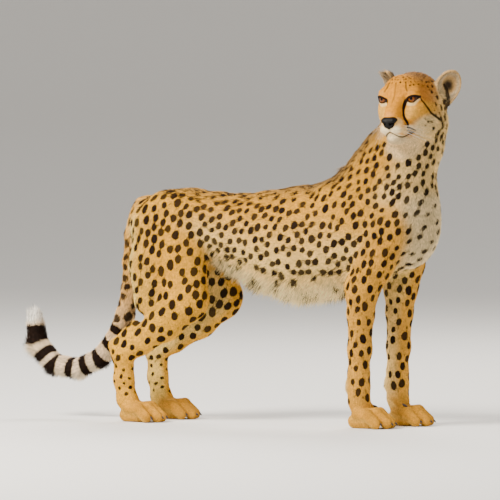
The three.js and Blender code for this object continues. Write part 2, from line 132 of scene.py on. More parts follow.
# The head's balls in its own frame: middle, radii, coat, and whether there is one a side.
HEAD_BALLS = [
    ([-86, 0, -2], [72, 72, 66], 6, False),  # braincase
    ([-38, 0, 12], [48, 60, 51], 3, False),  # forehead
    ([-14, 38, 14], [21, 28, 15], 2.2, True),  # brow
    ([-42, 46, -31], [48, 35, 46], 4, True),  # cheekbone
    ([-18, 36, -52], [36, 31, 38], 3, True),  # cheek
    ([-66, 46, -60], [44, 36, 48], 9, True),  # ruff of the cheek
    ([-112, 0, -34], [46, 64, 62], 8, False),  # nape
    ([18, 0, -73], [40, 38, 34], 2, False),  # muzzle
    ([33, 19, -84], [22, 22, 19], 2, True),  # whisker pad
    ([22, 0, -112], [25, 23, 16], 2.5, False),  # chin
    ([-34, 0, -92], [52, 46, 36], 7, False),  # throat
]
HEAD_LIMBS = [
    [[-14, 0, 1, 26, 31, 2], [26, 0, -36, 22, 24, 1.6], [42, 0, -55, 17, 22, 1.4]],
    *([[-60, side * 40, -76, 28, 20, 6], [16, side * 13, -110, 16, 15, 3]] for side in (1, -1)),
]
HEAD_REACH = np.array([[-190, -140, -160], [70, 140, 80]])
EYE_SOCKET = ([18, 52, -5], [22, 24, 14])
EAR = {
    "at": [-126, 90, 14], "up": [-0.22, 0.42, 0.87], "face": [0.72, 0.69, -0.1],
    "radii": [17, 38, 53], "bowl_radii": [16, 32, 45], "bowl_forward": 10, "coat": 2,
    "reach": 75, "blend": 9, "hair": 9,
}


def foreleg(side):
    y = side * FORE_HALF_TRACK
    lead = LEFT_FORE_LEAD if side > 0 else 0
    foot = lead - 20
    elbow = 58 + lead * 0.3
    return {
        "shoulder": [
            [-120, side * 48, 632, 52, 36, 5], [-40, side * 66, 600, 74, 42, 5],
            [elbow, side * 66, 556, 64, 42, 5],
        ],
        "upper_arm": [
            [elbow, side * 66, 556, 62, 42, 5],
            [20 + lead * 0.6, side * 74, 455, 56, 42, 5], [foot + 4, y, 388, 47, 39, 4],
        ],
        "forearm": [
            [foot + 4, y, 392, 47, 38, 4], [foot, y, 320, 40, 33, 4],
            [foot - 3, y, 220, 35, 29, 3.5], [foot - 6, y, 150, 31, 27, 3],
            [foot - 6, y, 116, 32, 28, 3], [foot - 5, y, 78, 30, 27, 2.6],
            [foot + 3, y, 46, 29, 31, 2.4],
        ],
        "wrist_pad": [[foot - 30, y, 124, 14, 13, 4], [foot - 36, y, 112, 12, 11, 4]],
        "paw": (foot + 20, y),
    }


def hind_leg(side):
    y = side * HIND_HALF_TRACK
    lead = LEFT_HIND_LEAD if side > 0 else 0
    knee = (lead - 552, 354)
    hock = (lead - 752, 192)
    return {
        "thigh": [
            [-622, side * 50, 572, 82, 50, 5], [lead * 0.5 - 596, side * 64, 470, 94, 48, 5],
            [knee[0], y, knee[1], 66, 41, 4.5],
        ],
        "buttock": [
            [-684, side * 42, 548, 54, 42, 5], [lead * 0.5 - 688, side * 60, 440, 56, 40, 5],
            [lead - 676, side * 76, 346, 48, 33, 5],
        ],
        "shank": [
            [knee[0] - 6, y, knee[1] - 8, 62, 39, 4.5], [lead - 622, y, 284, 54, 35, 4],
            [lead - 700, y, 228, 39, 27, 3.5], [hock[0], y, hock[1], 33, 24, 3],
        ],
        "heel": [
            [lead - 718, y, 272, 19, 15, 3], [lead - 778, y, 214, 18, 15, 2.5],
            [hock[0] - 14, y, hock[1] - 8, 24, 20, 2.5],
        ],
        "cannon": [
            [hock[0], y, hock[1], 34, 24, 3], [lead - 752, y, 118, 30, 23, 2.6],
            [lead - 742, y, 64, 29, 26, 2.4], [lead - 728, y, 44, 29, 30, 2.4],
        ],
        "paw": (lead - 706, y),
    }


def tail_stations():
    x, z = TAIL_ROOT
    stations = [[x, 0, z, TAIL_RADII[0], TAIL_RADII[0], TAIL_COAT[0]]]
    for n, heading in enumerate(TAIL_HEADINGS):
        x += TAIL_STEP * math.cos(math.radians(heading))
        z += TAIL_STEP * math.sin(math.radians(heading))
        stations.append([x, 0, z, TAIL_RADII[n + 1], TAIL_RADII[n + 1], TAIL_COAT[n + 1]])
    return stations


def on_paw(paw, side, stations):
    return [[paw[0] + s[0], paw[1] + side * s[1], *s[2:], PAW_COAT] for s in stations]


# ------------------------------------------------------------------ the smooth field


def smooth_min(a, b, k):
    h = np.maximum(k - np.abs(a - b), 0) / k
    return np.minimum(a, b) - h * h * (k / 4)


def smooth_max(a, b, k):
    return -smooth_min(-a, -b, k)


def dots(a, b):
    return np.einsum("ij,ij->i", a, b)


def within(p, low, high):
    x, y, z = p.T
    inside = (x > low[0]) & (x < high[0]) & (y > low[1]) & (y < high[1])
    return inside & (z > low[2]) & (z < high[2])


def oval(v, radii):
    """The distance to an oval along the ray from its middle. v is from that middle."""
    scaled = v / radii
    away = np.sqrt(dots(scaled, scaled))
    length = np.sqrt(dots(v, v))
    inside = -np.min(radii, axis=-1)
    return np.where(away < 1e-3, inside, length * (1 - 1 / np.maximum(away, 1e-3)))


def limb(p, a, b):
    """The distance to an oval limb between two stations, and the coat's depth there."""
    along = b[:3] - a[:3]
    t = np.clip((p - a[:3]) @ along / (along @ along), 0, 1)[:, None]
    depth, width, coat = (a[3:] + t * (b[3:] - a[3:])).T
    radii = np.stack([depth, width, depth], axis=1)
    return oval(p - a[:3] - t * along, radii), coat


class Mass:
    """A body mass: how far its skin or its coat's surface is, and how the hairs lie."""

    def __init__(self, look, blend, low, high, lie=None):
        self.look = look
        self.blend = blend
        margin = blend + 12
        self.low = np.array(low, float) - margin
        self.high = np.array(high, float) + margin
        self.lie = lie

    def near(self, p):
        return np.flatnonzero(within(p, self.low, self.high))

    def flow(self, p):
        return np.broadcast_to(np.array(self.lie, float), p.shape)


class Chain(Mass):
    def __init__(self, look, stations, blend, inner=SOFT_BLEND, lie=None, toward_start=False):
        self.stations = [np.array(s, float) for s in stations]
        ends = np.array([s[:3] for s in self.stations])
        widest = np.array([max(s[3:5]) for s in self.stations])[:, None]
        super().__init__(look, blend, (ends - widest).min(0), (ends + widest).max(0), lie)
        self.inner = inner
        self.sign = -1 if toward_start else 1

    def distance(self, p, with_coat=True):
        total = None
        for a, b in zip(self.stations, self.stations[1:]):
            d, coat = limb(p, a, b)
            if with_coat:
                d = d + coat
            total = d if total is None else smooth_min(total, d, self.inner)
        return total

    def nearest(self, p):
        """Each pair of stations, and which points are nearer to it than to those before."""
        best = np.full(len(p), FAR)
        for a, b in zip(self.stations, self.stations[1:]):
            d, _ = limb(p, a, b)
            nearer = d < best
            best[nearer] = d[nearer]
            yield a, b, nearer

    def flow(self, p):
        if self.lie is not None:
            return super().flow(p)
        flow = np.zeros(p.shape)
        for a, b, nearer in self.nearest(p):
            step = b[:3] - a[:3]
            flow[nearer] = self.sign * step / np.linalg.norm(step)
        return flow


class Trunk(Chain):
    """The trunk, whose coat is deep under the belly."""

    def distance(self, p, with_coat=True):
        d = super().distance(p, with_coat)
        return d + BELLY_COAT * belly_fringe(p) if with_coat else d

    def flow(self, p):
        lie = np.tile([-1.0, 0.0, -0.28], (len(p), 1))
        lie[:, 2] -= 1.6 * belly_fringe(p)
        return lie


class Ball(Mass):
    def __init__(self, look, at, radii, coat, blend, lie):
        self.at = np.array(at, float)
        self.radii = np.array(radii, float)
        super().__init__(look, blend, self.at - self.radii, self.at + self.radii, lie)
        self.coat = coat

    def distance(self, p, with_coat=True):
        return oval(p - self.at, self.radii) + (self.coat if with_coat else 0)


class Head(Mass):
    """The whole head with its ears, worked out in its own frame, mirrored left to right."""

    def __init__(self, look, blend):
        corners = from_head(HEAD_REACH[0] + CORNERS * (HEAD_REACH[1] - HEAD_REACH[0]))
        super().__init__(look, blend, corners.min(0), corners.max(0))

    def distance(self, p, with_coat=True):
        q = to_head(p)
        d = skull(q, with_coat)
        for side in (-1, 1):
            near = np.linalg.norm(q - ear_frame(side)["middle"], axis=1) < EAR["reach"]
            ear = ear_distance(q[near], side, EAR["coat"] if with_coat else 0)
            d[near] = smooth_min(d[near], ear, EAR["blend"])
        return face_detail(q, d) if with_coat else d

    def flow(self, p):
        q = to_head(p)
        away = q - NOSE_BRIDGE
        away[:, 0] -= 12  # leans the coat back along the head
        away[:, 2] -= 0.35 * np.maximum(-40 - q[:, 0], 0)  # and down behind the cheeks
        away /= np.linalg.norm(away, axis=1)[:, None]
        for side in (-1, 1):
            off = oval(to_ear(q, side), np.array(EAR["radii"]) + 4)
            on_ear = np.clip(1.6 - off / 6, 0, 1)[:, None]
            away = away * (1 - on_ear) + on_ear * ear_frame(side)["axes"][2]
        return away @ HEAD_AXES.T


NOSE_BRIDGE = np.array([62.0, 0.0, -52.0])
BELLY_COAT = 19


def ramp(x, start, end):
    """0 at start, 1 at end, smooth between."""
    t = np.clip((x - start) / (end - start), 0, 1)
    return t * t * (3 - 2 * t)


def belly_fringe(p):
    """How far a point is under the belly, where the coat hangs in a long fringe."""
    stations = np.array(TRUNK, float)
    axis_z = np.interp(p[:, 0], stations[:, 0], stations[:, 2])
    depth = np.interp(p[:, 0], stations[:, 0], stations[:, 3])
    below = (axis_z - p[:, 2]) / depth
    width = np.interp(p[:, 0], stations[:, 0], stations[:, 4])
    aside = np.abs(p[:, 1]) / (width * np.sqrt(np.clip(1 - below**2, 0, 1)) + 26)
    under = ramp(below, 0.45, 0.98) * (1 - ramp(below, 1.1, 1.4)) * (1 - ramp(aside, 1.0, 1.25))
    return under * ramp(p[:, 0], -540, -430) * (1 - ramp(p[:, 0], -130, -20))


def mirrored(q):
    return q * [1, 0, 1] + np.abs(q) * [0, 1, 0]


HEAD_CHAINS = [Chain("head", stations, SOFT_BLEND, SOFT_BLEND / 2) for stations in HEAD_LIMBS]


def skull(q, with_coat):
    m = mirrored(q)
    d = np.full(len(q), FAR)
    for at, radii, coat, pair in HEAD_BALLS:
        ball = oval((m if pair else q) - at, radii)
        d = smooth_min(d, ball + (coat if with_coat else 0), SOFT_BLEND)
    for chain in HEAD_CHAINS:
        d = smooth_min(d, chain.distance(q, with_coat), SOFT_BLEND)
    at, radii = EYE_SOCKET
    return smooth_max(d, -oval(m - at, radii), SOFT_BLEND / 2)


def ear_frame(side):
    flip = np.array([1, side, 1])
    up = np.array(EAR["up"]) * flip
    up /= np.linalg.norm(up)
    face = np.array(EAR["face"]) * flip
    face -= up * (face @ up)
    face /= np.linalg.norm(face)
    return {"middle": np.array(EAR["at"]) * flip, "axes": np.array([face, np.cross(up, face), up])}


def to_ear(q, side):
    """Forward, across and up from an ear's middle."""
    ear = ear_frame(side)
    return (q - ear["middle"]) @ ear["axes"].T


def ear_distance(q, side, coat):
    v = to_ear(q, side)
    outer = oval(v, EAR["radii"]) + coat
    inner = oval(v - [EAR["bowl_forward"], 0, 0], EAR["bowl_radii"]) - coat
    return smooth_max(outer, -inner, 3)


# ------------------------------------------------------------------ the face

GAZE_OUT = 8  # degrees that each eye looks out from straight ahead
GAZE_UP = 0.09  # the slope at which it looks up
LID_OUT = 15  # degrees that the opening between its lids faces out
LID_TILT = 13  # degrees by which the outer corner stands higher
LID = {"half": 14.4, "top": 5.2, "bottom": 7.6, "thick": 2.3, "fold": 2.6, "gap": 0.35}
MOUTH = [
    [56, 0, -92], [55, 7, -96], [50, 15, -101], [41, 22, -105.5], [30, 28, -107], [16, 33, -105],
    [5, 36, -100], [-4, 40, -95],
]
PHILTRUM = [[66, 0, -80], [58, 0, -93]]


def outward(degrees):
    """Across, up and ahead for an eye on the left that faces out by this angle."""
    a = math.radians(degrees)
    return np.array([[-math.sin(a), math.cos(a), 0], [0, 0, 1], [math.cos(a), math.sin(a), 0]])


def lid_opening(m):
    """The distance in millimetres, on the eyeball, from the edge of its opening between the
    lids. It is negative in the opening. m is mirrored to the left."""
    v = m - EYE_AT
    r = np.maximum(np.linalg.norm(v, axis=1), 1e-6)
    across, up, ahead = (v @ outward(LID_OUT).T / r[:, None] * EYE_RADIUS).T
    t = math.radians(LID_TILT)
    x, y = across * math.cos(t) + up * math.sin(t), up * math.cos(t) - across * math.sin(t)
    edges = []
    for height, sign in ((LID["top"], 1), (LID["bottom"], -1)):
        radius = (LID["half"] ** 2 + height**2) / (2 * height)
        edges.append(np.hypot(x, y - sign * (height - radius)) - radius)
    return np.where(ahead > 0, np.maximum(*edges), 20)


def tube(q, points, radius):
    """The distance to a tube along a line of points."""
    d = np.full(len(q), FAR)
    radii = np.broadcast_to(radius, len(points))
    for a, b, ra, rb in zip(points, points[1:], radii, radii[1:]):
        a, b = np.array(a, float), np.array(b, float)
        t = np.clip((q - a) @ (b - a) / ((b - a) @ (b - a)), 0, 1)
        d = np.minimum(d, np.linalg.norm(q - a - t[:, None] * (b - a), axis=1) - ra - t * (rb - ra))
    return d


def face_detail(q, d):
    """Cuts the eyes' openings, rounds the lids and draws in the mouth and the philtrum."""
    d = d.copy()
    m = mirrored(q)
    ball = np.linalg.norm(m - EYE_AT, axis=1)
    near = np.flatnonzero((ball < 34) & (d < 20))
    over = ramp(m[near, 2] - EYE_AT[2], 0, 9)  # the upper lid is a thicker fold
    lids = ball[near] - EYE_RADIUS - LID["thick"] - LID["fold"] * over
    shaped = smooth_min(d[near], lids, 5)
    shaped = smooth_max(shaped, -lid_opening(m[near]), 2.2)
    cavity = np.minimum(EYE_RADIUS + LID["gap"] - ball[near], m[near, 0] + 20)
    d[near] = np.maximum(shaped, cavity)
    front = np.flatnonzero((q[:, 0] > -30) & (q[:, 2] < -55) & (np.abs(d) < 12))
    groove = np.minimum(tube(m[front], MOUTH, 1.5), tube(m[front], PHILTRUM, 1.2))
    d[front] = smooth_max(d[front], -groove, 3.5)
    return d


# ------------------------------------------------------------------ all the masses


def all_masses():
    masses = [
        Trunk("trunk", TRUNK, SOFT_BLEND),
        Ball("breast", BREAST["at"], BREAST["radii"], BREAST["coat"], BLEND, [-0.35, 0, -1]),
        Chain("neck", NECK, BLEND * 1.4, toward_start=True),
    ]
    fore = {side: foreleg(side) for side in (-1, 1)}
    hind = {side: hind_leg(side) for side in (-1, 1)}
    for side in (-1, 1):
        masses += [
            Chain("shoulder", fore[side]["shoulder"], BLEND / 2, lie=[-0.5, 0, -0.85]),
            Chain("upper_arm", fore[side]["upper_arm"], BLEND * 0.7, lie=[-0.35, 0, -0.95]),
            Chain("thigh", hind[side]["thigh"], BLEND, lie=[-0.45, 0, -0.9]),
            Chain("buttock", hind[side]["buttock"], BLEND, lie=[-0.2, 0, -1]),
        ]
    masses += [Chain("tail", tail_stations(), BLEND * 0.7, 10), Head("head", BLEND)]
    for side in (-1, 1):
        leg = fore[side]
        masses += [
            Chain("forearm", leg["forearm"], BLEND * 0.6),
            Chain("wrist_pad", leg["wrist_pad"], SOFT_BLEND, lie=[-0.5, 0, -1]),
            *paw_masses(leg["paw"], side, [*TOES, DEWCLAW_TOE]),
        ]
        leg = hind[side]
        masses += [
            Chain("shank", leg["shank"], BLEND / 2),
            Chain("shank", leg["heel"], SOFT_BLEND),
            Chain("cannon", leg["cannon"], SOFT_BLEND / 2),
            *paw_masses(leg["paw"], side, TOES),
        ]
    return masses


def paw_masses(paw, side, toes):
    blend = SOFT_BLEND / 2
    sole = Chain("paw", on_paw(paw, side, SOLE), blend, blend, lie=[0.4, 0, -1])
    return [sole, *(Chain("paw", on_paw(paw, side, toe), blend, 6) for toe in toes)]


MASSES = all_masses()
FLOOR = 0.4  # the height over the floor of the soles and of the lowest hair, in millimetres


def blended(p, with_coat):
    """The distance to all the masses: to the skin if with_coat, else to the coat's surface."""
    d = np.full(len(p), FAR)
    for mass in MASSES:
        near = mass.near(p)
        if len(near):
            d[near] = smooth_min(d[near], mass.distance(p[near], with_coat), mass.blend)
    return d


def skin_field(p):
    return np.maximum(blended(p, True), FLOOR - p[:, 2])


def coat_room(p):
    """How far a point is below the surface of the coat."""
    return -blended(p, False)


# ------------------------------------------------------------------ meshing a field

KEY_BITS = 13


def key_of(cells, level=0):
    x, y, z = cells.astype(np.int64).T
    return ((np.int64(level) << KEY_BITS | x) << KEY_BITS | y) << KEY_BITS | z


def cells_near(field, low, high, cell, boxes):
    """The cells that the surface may pass through, a list for each level, in finest steps."""
    levels = len(boxes) + 1
    size = 2 * 2 ** (levels - 1)
    finest = cell / 2 ** (levels - 1)
    counts = np.ceil((np.array(high) - low) / (finest * size)).astype(int)
    grid = np.meshgrid(*[np.arange(n) for n in counts], indexing="ij")
    cells = np.stack(grid, axis=-1).reshape(-1, 3) * size
    leaves = []
    while size >= 1 and len(cells):
        centres = low + (cells + size / 2) * finest
        near = np.abs(field(centres)) < size * finest * 1.5
        cells, centres = cells[near], centres[near]
        if size * finest <= cell:
            done = level_at(centres, boxes) <= len(leaves)
            leaves.append(cells[done])
            cells = cells[~done]
        size //= 2
        cells = (cells[:, None] + CORNERS * size).reshape(-1, 3)
    return leaves, finest


def level_at(points, boxes):
    level = np.zeros(len(points), int)
    for n, group in enumerate(boxes):
        for low, high in group:
            level[within(points, low, high)] = n + 1
    return level


def surface_net(field, low, high, cell, boxes=()):
    """Vertices and triangles of the surface where the field is zero.

    Cells are cubes, halved again inside each nested list of boxes. A cell that the surface
    passes through holds one vertex. Each smallest edge that it crosses joins the vertices of
    the cells around the edge, so levels meet with no gap."""
    low = np.array(low, float)
    boxes = [[low + np.round((box - low) / cell) * cell for box in group] for group in boxes]
    leaves, finest = cells_near(field, low, high, cell, boxes)
    rings, places = [], []
    for level, cells in enumerate(leaves):
        side = 2 ** (len(leaves) - 1 - level)
        corners = np.unique(key_of((cells[:, None] + CORNERS * side).reshape(-1, 3)))
        mask = (1 << KEY_BITS) - 1
        where = np.stack([corners >> n * KEY_BITS & mask for n in (2, 1, 0)], axis=1)
        value = field(low + where * finest)
        for axis in range(3):
            step = np.eye(3, dtype=int)[axis] * side
            far = key_of(where + step)
            at = np.minimum(np.searchsorted(corners, far), len(corners) - 1)
            crossed = np.flatnonzero((corners[at] == far) & ((value < 0) != (value[at] < 0)))
            d0, d1 = value[crossed], value[at[crossed]]
            start = where[crossed]
            place = low + (start + step * (d0 / (d0 - d1))[:, None]) * finest
            u, v = np.eye(3, dtype=int)[[(axis + 1) % 3, (axis + 2) % 3]] * side
            ring = []
            whole = np.ones(len(start), bool)
            for back in (u + v, v, 0 * u, u):
                cell_at = start - back
                found = level_at(low + (cell_at + side / 2) * finest, boxes)
                whole &= found <= level
                bigger = cell_at // (2 * side) * (2 * side)
                ring.append(np.where(found < level, key_of(bigger, level - 1), key_of(cell_at, level)))
            ring = np.stack(ring, axis=1)
            ring[d0 > 0] = ring[d0 > 0, ::-1]
            rings.append(ring[whole])
            places.append(place[whole])
    ring, place = np.concatenate(rings), np.concatenate(places)
    _, index = np.unique(ring, return_inverse=True)
    index = index.reshape(ring.shape)
    total = np.bincount(index.ravel())
    repeated = np.repeat(place, 4, axis=0)
    vertices = np.stack([np.bincount(index.ravel(), axis) for axis in repeated.T], axis=1)
    vertices /= total[:, None]
    return vertices, triangles_of(vertices, index)


def triangles_of(vertices, quads):
    a, b, c, d = (vertices[quads[:, n]] for n in range(4))
    across = np.linalg.norm(a - c, axis=1) <= np.linalg.norm(b - d, axis=1)
    order = np.where(across[:, None], [0, 1, 2, 0, 2, 3], [0, 1, 3, 1, 2, 3])
    triangles = np.take_along_axis(quads, order, axis=1).reshape(-1, 3)
    x, y, z = triangles.T
    return triangles[(x != y) & (y != z) & (z != x)]


def slope(field, p, step=0.4):
    slopes = [field(p + axis) - field(p - axis) for axis in np.eye(3) * step]
    return np.stack(slopes, axis=1) / (2 * step)


def unit(v):
    return v / np.maximum(np.linalg.norm(v, axis=-1, keepdims=True), 1e-9)


def settle(field, p, most, rounds=2):
    """Moves points onto the surface."""
    for _ in range(rounds):
        g = slope(field, p)
        steps = field(p) / np.maximum(dots(g, g), 0.2)
        p = p - np.clip(steps, -most, most)[:, None] * g
    return p


# ------------------------------------------------------------------ the skin

SKIN_CELL = 7.6
SKIN_LOW, SKIN_HIGH = (-1140, -252, -24), (276, 180, 1080)
# Cells are halved over the head and the paws, and halved again over the face and the ears.
HALVED = [((-36, -240, 770), (276, 150, 1080))]
HALVED += [((-96, -144, -24), (156, 144, 96)), ((-828, -156, -24), (-588, 156, 96))]
QUARTERED = [((-22, -226, 786), (258, -76, 1056))]
QUARTERED += [((-22, -48, 896), (84, 84, 1020)), ((144, -60, 896), (258, 78, 1020))]


def make_skin():
    vertices, triangles = surface_net(
        skin_field, SKIN_LOW, SKIN_HIGH, SKIN_CELL, [HALVED + QUARTERED, QUARTERED]
    )
    return settle(skin_field, vertices, 1.5), triangles


# ------------------------------------------------------------------ looks of the masses
# For each mass: the hairs' length and distance apart, the spots' half width, distance apart
# and stretch, which way they are stretched, and its golden and pale colours, in millimetres
# and in sRGB. Pale hair lies toward a side of the mass, from one height to another along it.

SPOT_UP = (0.3, 0, 1)
LOOKS = {
    "trunk": (10, 2.5, 10.6, 25, 1.3, SPOT_UP, (232, 166, 48), (255, 214, 130)),
    "breast": (15, 2.6, 7.6, 31, 1.8, (0.1, 1, 0.3), (216, 166, 88), (236, 212, 164)),
    "neck": (12, 2.5, 9.2, 22.5, 1.3, (0.25, 0, 1), (230, 166, 50), (250, 210, 134)),
    "shoulder": (9.5, 2.5, 9.8, 24, 1.35, (0.3, 0, 1), (232, 168, 50), (252, 210, 108)),
    "upper_arm": (9, 2.4, 9.8, 24.5, 1.45, (0.35, 0, 1), (234, 170, 60), (250, 210, 116)),
    "thigh": (9.5, 2.5, 13.6, 27.5, 1.25, (0.12, 0, 1), (240, 174, 48), (255, 212, 122)),
    "buttock": (11, 2.5, 12.8, 26.5, 1.2, (0.3, 0, 1), (243, 185, 72), (253, 221, 130)),
    "tail": (15, 2.6, 11.5, 29, 1.3, (1, 0, 0.1), (228, 168, 76), (246, 226, 180)),
    "head": (8, 2.0, 2.6, 17, 1.2, (0, 0, 1), (218, 144, 30), (246, 216, 160)),
    "forearm": (8, 2.3, 9.3, 26, 1.45, (0.1, 0, 1), (235, 171, 62), (252, 209, 124)),
    "wrist_pad": (12, 2.2, 4, 60, 1, (0, 0, 1), (240, 202, 124), (248, 224, 164)),
    "shank": (9, 2.4, 11, 31, 1.3, (0.5, 0, 1), (245, 181, 52), (255, 213, 116)),
    "cannon": (7, 2.2, 5.4, 22, 1.3, (0, 1, 0), (245, 179, 50), (253, 211, 106)),
    "paw": (5, 2.0, 1.5, 500, 1, (0, 0, 1), (226, 160, 48), (240, 192, 90)),
}
PALE = {
    "trunk": ((0, 0, -1), -0.7, 0.6), "breast": ((0.5, 0, -0.4), -0.7, 0.1),
    "neck": ((0.8, 0, -0.5), -0.2, 0.5), "shoulder": ((0, 0, -1), 0.9, 1.6),
    "upper_arm": ((-0.3, -1, 0), 0.25, 0.8), "thigh": ((-0.3, -1, 0), 0.3, 0.9),
    "buttock": ((-1, -0.3, 0), 0.0, 0.9), "tail": ((0, 0, -1), -0.1, 0.7),
    "forearm": ((-0.7, -0.7, 0), 0.1, 0.8), "wrist_pad": ((-1, 0, 0), -0.5, 0.5),
    "shank": ((-0.3, -0.9, 0), 0.2, 0.85), "cannon": ((0, -1, 0), 0.3, 0.9),
    "paw": ((-0.5, 0, -1), 0.2, 0.9),
}


def linear(colour):
    """sRGB from 0 to 255 to the linear colour that shaders use."""
    c = np.asarray(colour, float) / 255
    return np.where(c <= 0.04045, c / 12.92, ((c + 0.055) / 1.055) ** 2.4)


def tinted(colour, amount, tint):
    """Linear colours moved toward an sRGB one by amounts from 0 to 1."""
    return colour + amount[:, None] * (linear(tint) - colour)


def paleness(mass, p):
    """How pale the coat of a mass is at points, from 0 to 1."""
    toward, start, end = PALE[mass.look]
    if isinstance(mass, Ball):
        return ramp(((p - mass.at) / mass.radii) @ unit(np.array(toward, float)), start, end)
    side = np.sign(mass.stations[0][1]) or 1
    toward = unit(np.array(toward, float) * [1, side, 1])
    pale = np.zeros(len(p))
    for a, b, nearer in mass.nearest(p):
        along = b[:3] - a[:3]
        t = np.clip((p - a[:3]) @ along / (along @ along), 0, 1)[:, None]
        size = a[3:5] + t * (b[3:5] - a[3:5])
        v = (p - a[:3] - t * along) / np.stack([size[:, 0], size[:, 1], size[:, 0]], axis=1)
        pale[nearer] = ramp((v @ toward)[nearer], start, end)
    return pale


THROAT_COLOUR = (240, 208, 156)


def off_throat(p):
    """How far points are from the middle of the throat, where 1 is its edge."""
    return np.linalg.norm((to_head(p) - [-18, 0, -138]) / [58, 56, 36], axis=1)


def blend_looks(p):
    """The lie of the hair, its numbers and its ground colour at each point."""
    numbers = np.zeros((len(p), 5))
    lie, spot_lie, colour = np.zeros(p.shape), np.zeros(p.shape), np.zeros(p.shape)
    weight = np.zeros(len(p))
    for mass in MASSES:
        near = mass.near(p)
        if not len(near):
            continue
        q = p[near]
        w = np.exp(-np.clip(mass.distance(q, with_coat=False), -40, 90) / 7)
        hair, apart, spot, gap, stretch, spot_up, gold, pale = LOOKS[mass.look]
        if mass.look == "head":
            ground = head_colour(to_head(q))
            row = np.stack([*head_hair(to_head(q)), *head_spots(to_head(q))], axis=1)
        else:
            ground = tinted(linear(gold), paleness(mass, q), pale)
            row = np.array([hair, apart, spot, gap, stretch], float)
        numbers[near] += w[:, None] * row
        lie[near] += w[:, None] * unit(mass.flow(q))
        spot_lie[near] += w[:, None] * np.array(spot_up, float)
        colour[near] += w[:, None] * ground
        weight[near] += w
    weight = np.maximum(weight, 1e-12)[:, None]
    on_throat = 1 - ramp(off_throat(p), 0.7, 1.25)
    colour = tinted(colour / weight, 0.85 * on_throat, THROAT_COLOUR)
    return lie / weight, spot_lie / weight, numbers / weight, colour


# ------------------------------------------------------------------ the head's looks
# Patches of colour in the head's mirrored frame: middle, radii, colour, strength.

HEAD_PATCHES = [
    ([-60, 0, 44], [75, 60, 40], (204, 134, 38), 0.75),  # crown
    ([-8, 0, 20], [34, 42, 34], (216, 142, 24), 0.9),  # forehead
    ([20, 0, -30], [27, 20, 30], (218, 144, 26), 0.8),  # bridge
    ([-62, 72, 8], [50, 40, 34], (186, 116, 46), 0.8),  # temple
    ([-30, 66, -40], [40, 34, 26], (232, 168, 58), 0.8),  # cheek
    ([-44, 68, -84], [62, 46, 34], (234, 206, 150), 0.9),  # ruff
    ([-4, 40, 16], [9, 14, 5], (236, 180, 96), 0.6),  # over the eye
    ([5, 46, -19], [13, 18, 5], (244, 196, 116), 0.7),  # under the eye
    ([8, 46, -42], [24, 22, 20], (238, 178, 74), 0.85),  # under the eye, farther down
    ([46, 24, -66], [18, 14, 15], (242, 200, 130), 0.7),  # beside the nose
    ([22, 34, -86], [32, 24, 14], (236, 200, 138), 0.9),  # lips
    ([50, 15, -84], [20, 20, 13], (250, 226, 178), 1.0),  # front of the lips
    ([32, 18, -106], [22, 18, 9], (238, 206, 150), 0.9),  # lower lip
    # the chin's tan, darker than its pale hair, is painted shade under the jaw; its front and the lip
    # under the mouth stay paler
    ([22, 0, -116], [38, 38, 18], (212, 188, 146), 1.0),  # chin
    ([44, 0, -108], [14, 16, 8], (234, 208, 162), 0.8),  # front of the chin
    ([48, 8, -101], [20, 22, 8], (248, 222, 174), 1.0),  # lip under the mouth
    ([44, 0, -46], [18, 16, 14], (220, 148, 62), 0.8),  # top of the muzzle
    ([-50, 0, -118], [70, 55, 34], (214, 190, 146), 0.9),  # throat
    ([-98, 0, 50], [54, 74, 42], (130, 88, 44), 0.8),  # back of the crown
    ([-130, 0, -30], [50, 70, 66], (196, 140, 70), 0.5),  # nape
]
MANE_COLOUR = (98, 78, 54)
LID_RIM_COLOUR = (250, 216, 150)
EAR_COLOURS = {"edge": (212, 178, 124), "inside": (200, 180, 148), "back": (48, 36, 26)}


def head_colour(q):
    m = mirrored(q)
    colour = np.tile(linear(LOOKS["head"][6]), (len(q), 1))
    for at, radii, tint, strength in HEAD_PATCHES:
        v = (m - at) / radii
        colour = tinted(colour, strength * (1 - ramp(np.sqrt(dots(v, v)), 0.65, 1.25)), tint)
    v = m - EYE_AT
    by_eye = (np.linalg.norm(v, axis=1) < EYE_RADIUS + 8) & (v[:, 2] < 6)
    rim = np.where(by_eye, 1 - ramp(lid_opening(m), 4, 7.5), 0) * (1 - ramp(v[:, 2], -3, 3))
    return ear_colour(q, tinted(colour, 0.8 * rim, LID_RIM_COLOUR))


def ear_place(q, side):
    """Where points are from an ear's middle, over its radii, and how far off it they are."""
    v = to_ear(q, side)
    return v / EAR["radii"], oval(v, EAR["radii"])


def ear_colour(q, colour):
    for side in (-1, 1):
        v, off = ear_place(q, side)
        on_ear = 1 - ramp(off, 2, 12)
        inside = on_ear * ramp(v[:, 0], -0.25, 0.1) * (1 - ramp(np.hypot(v[:, 1], v[:, 2]), 0.72, 0.9))
        back = on_ear * (1 - ramp(v[:, 0], -0.45, -0.2))
        low = back * (1 - ramp(v[:, 2], 0.35, 0.75))
        for amount, name in ((on_ear * 0.8, "edge"), (inside, "inside"), (low, "back")):
            colour = tinted(colour, amount, EAR_COLOURS[name])
    return colour


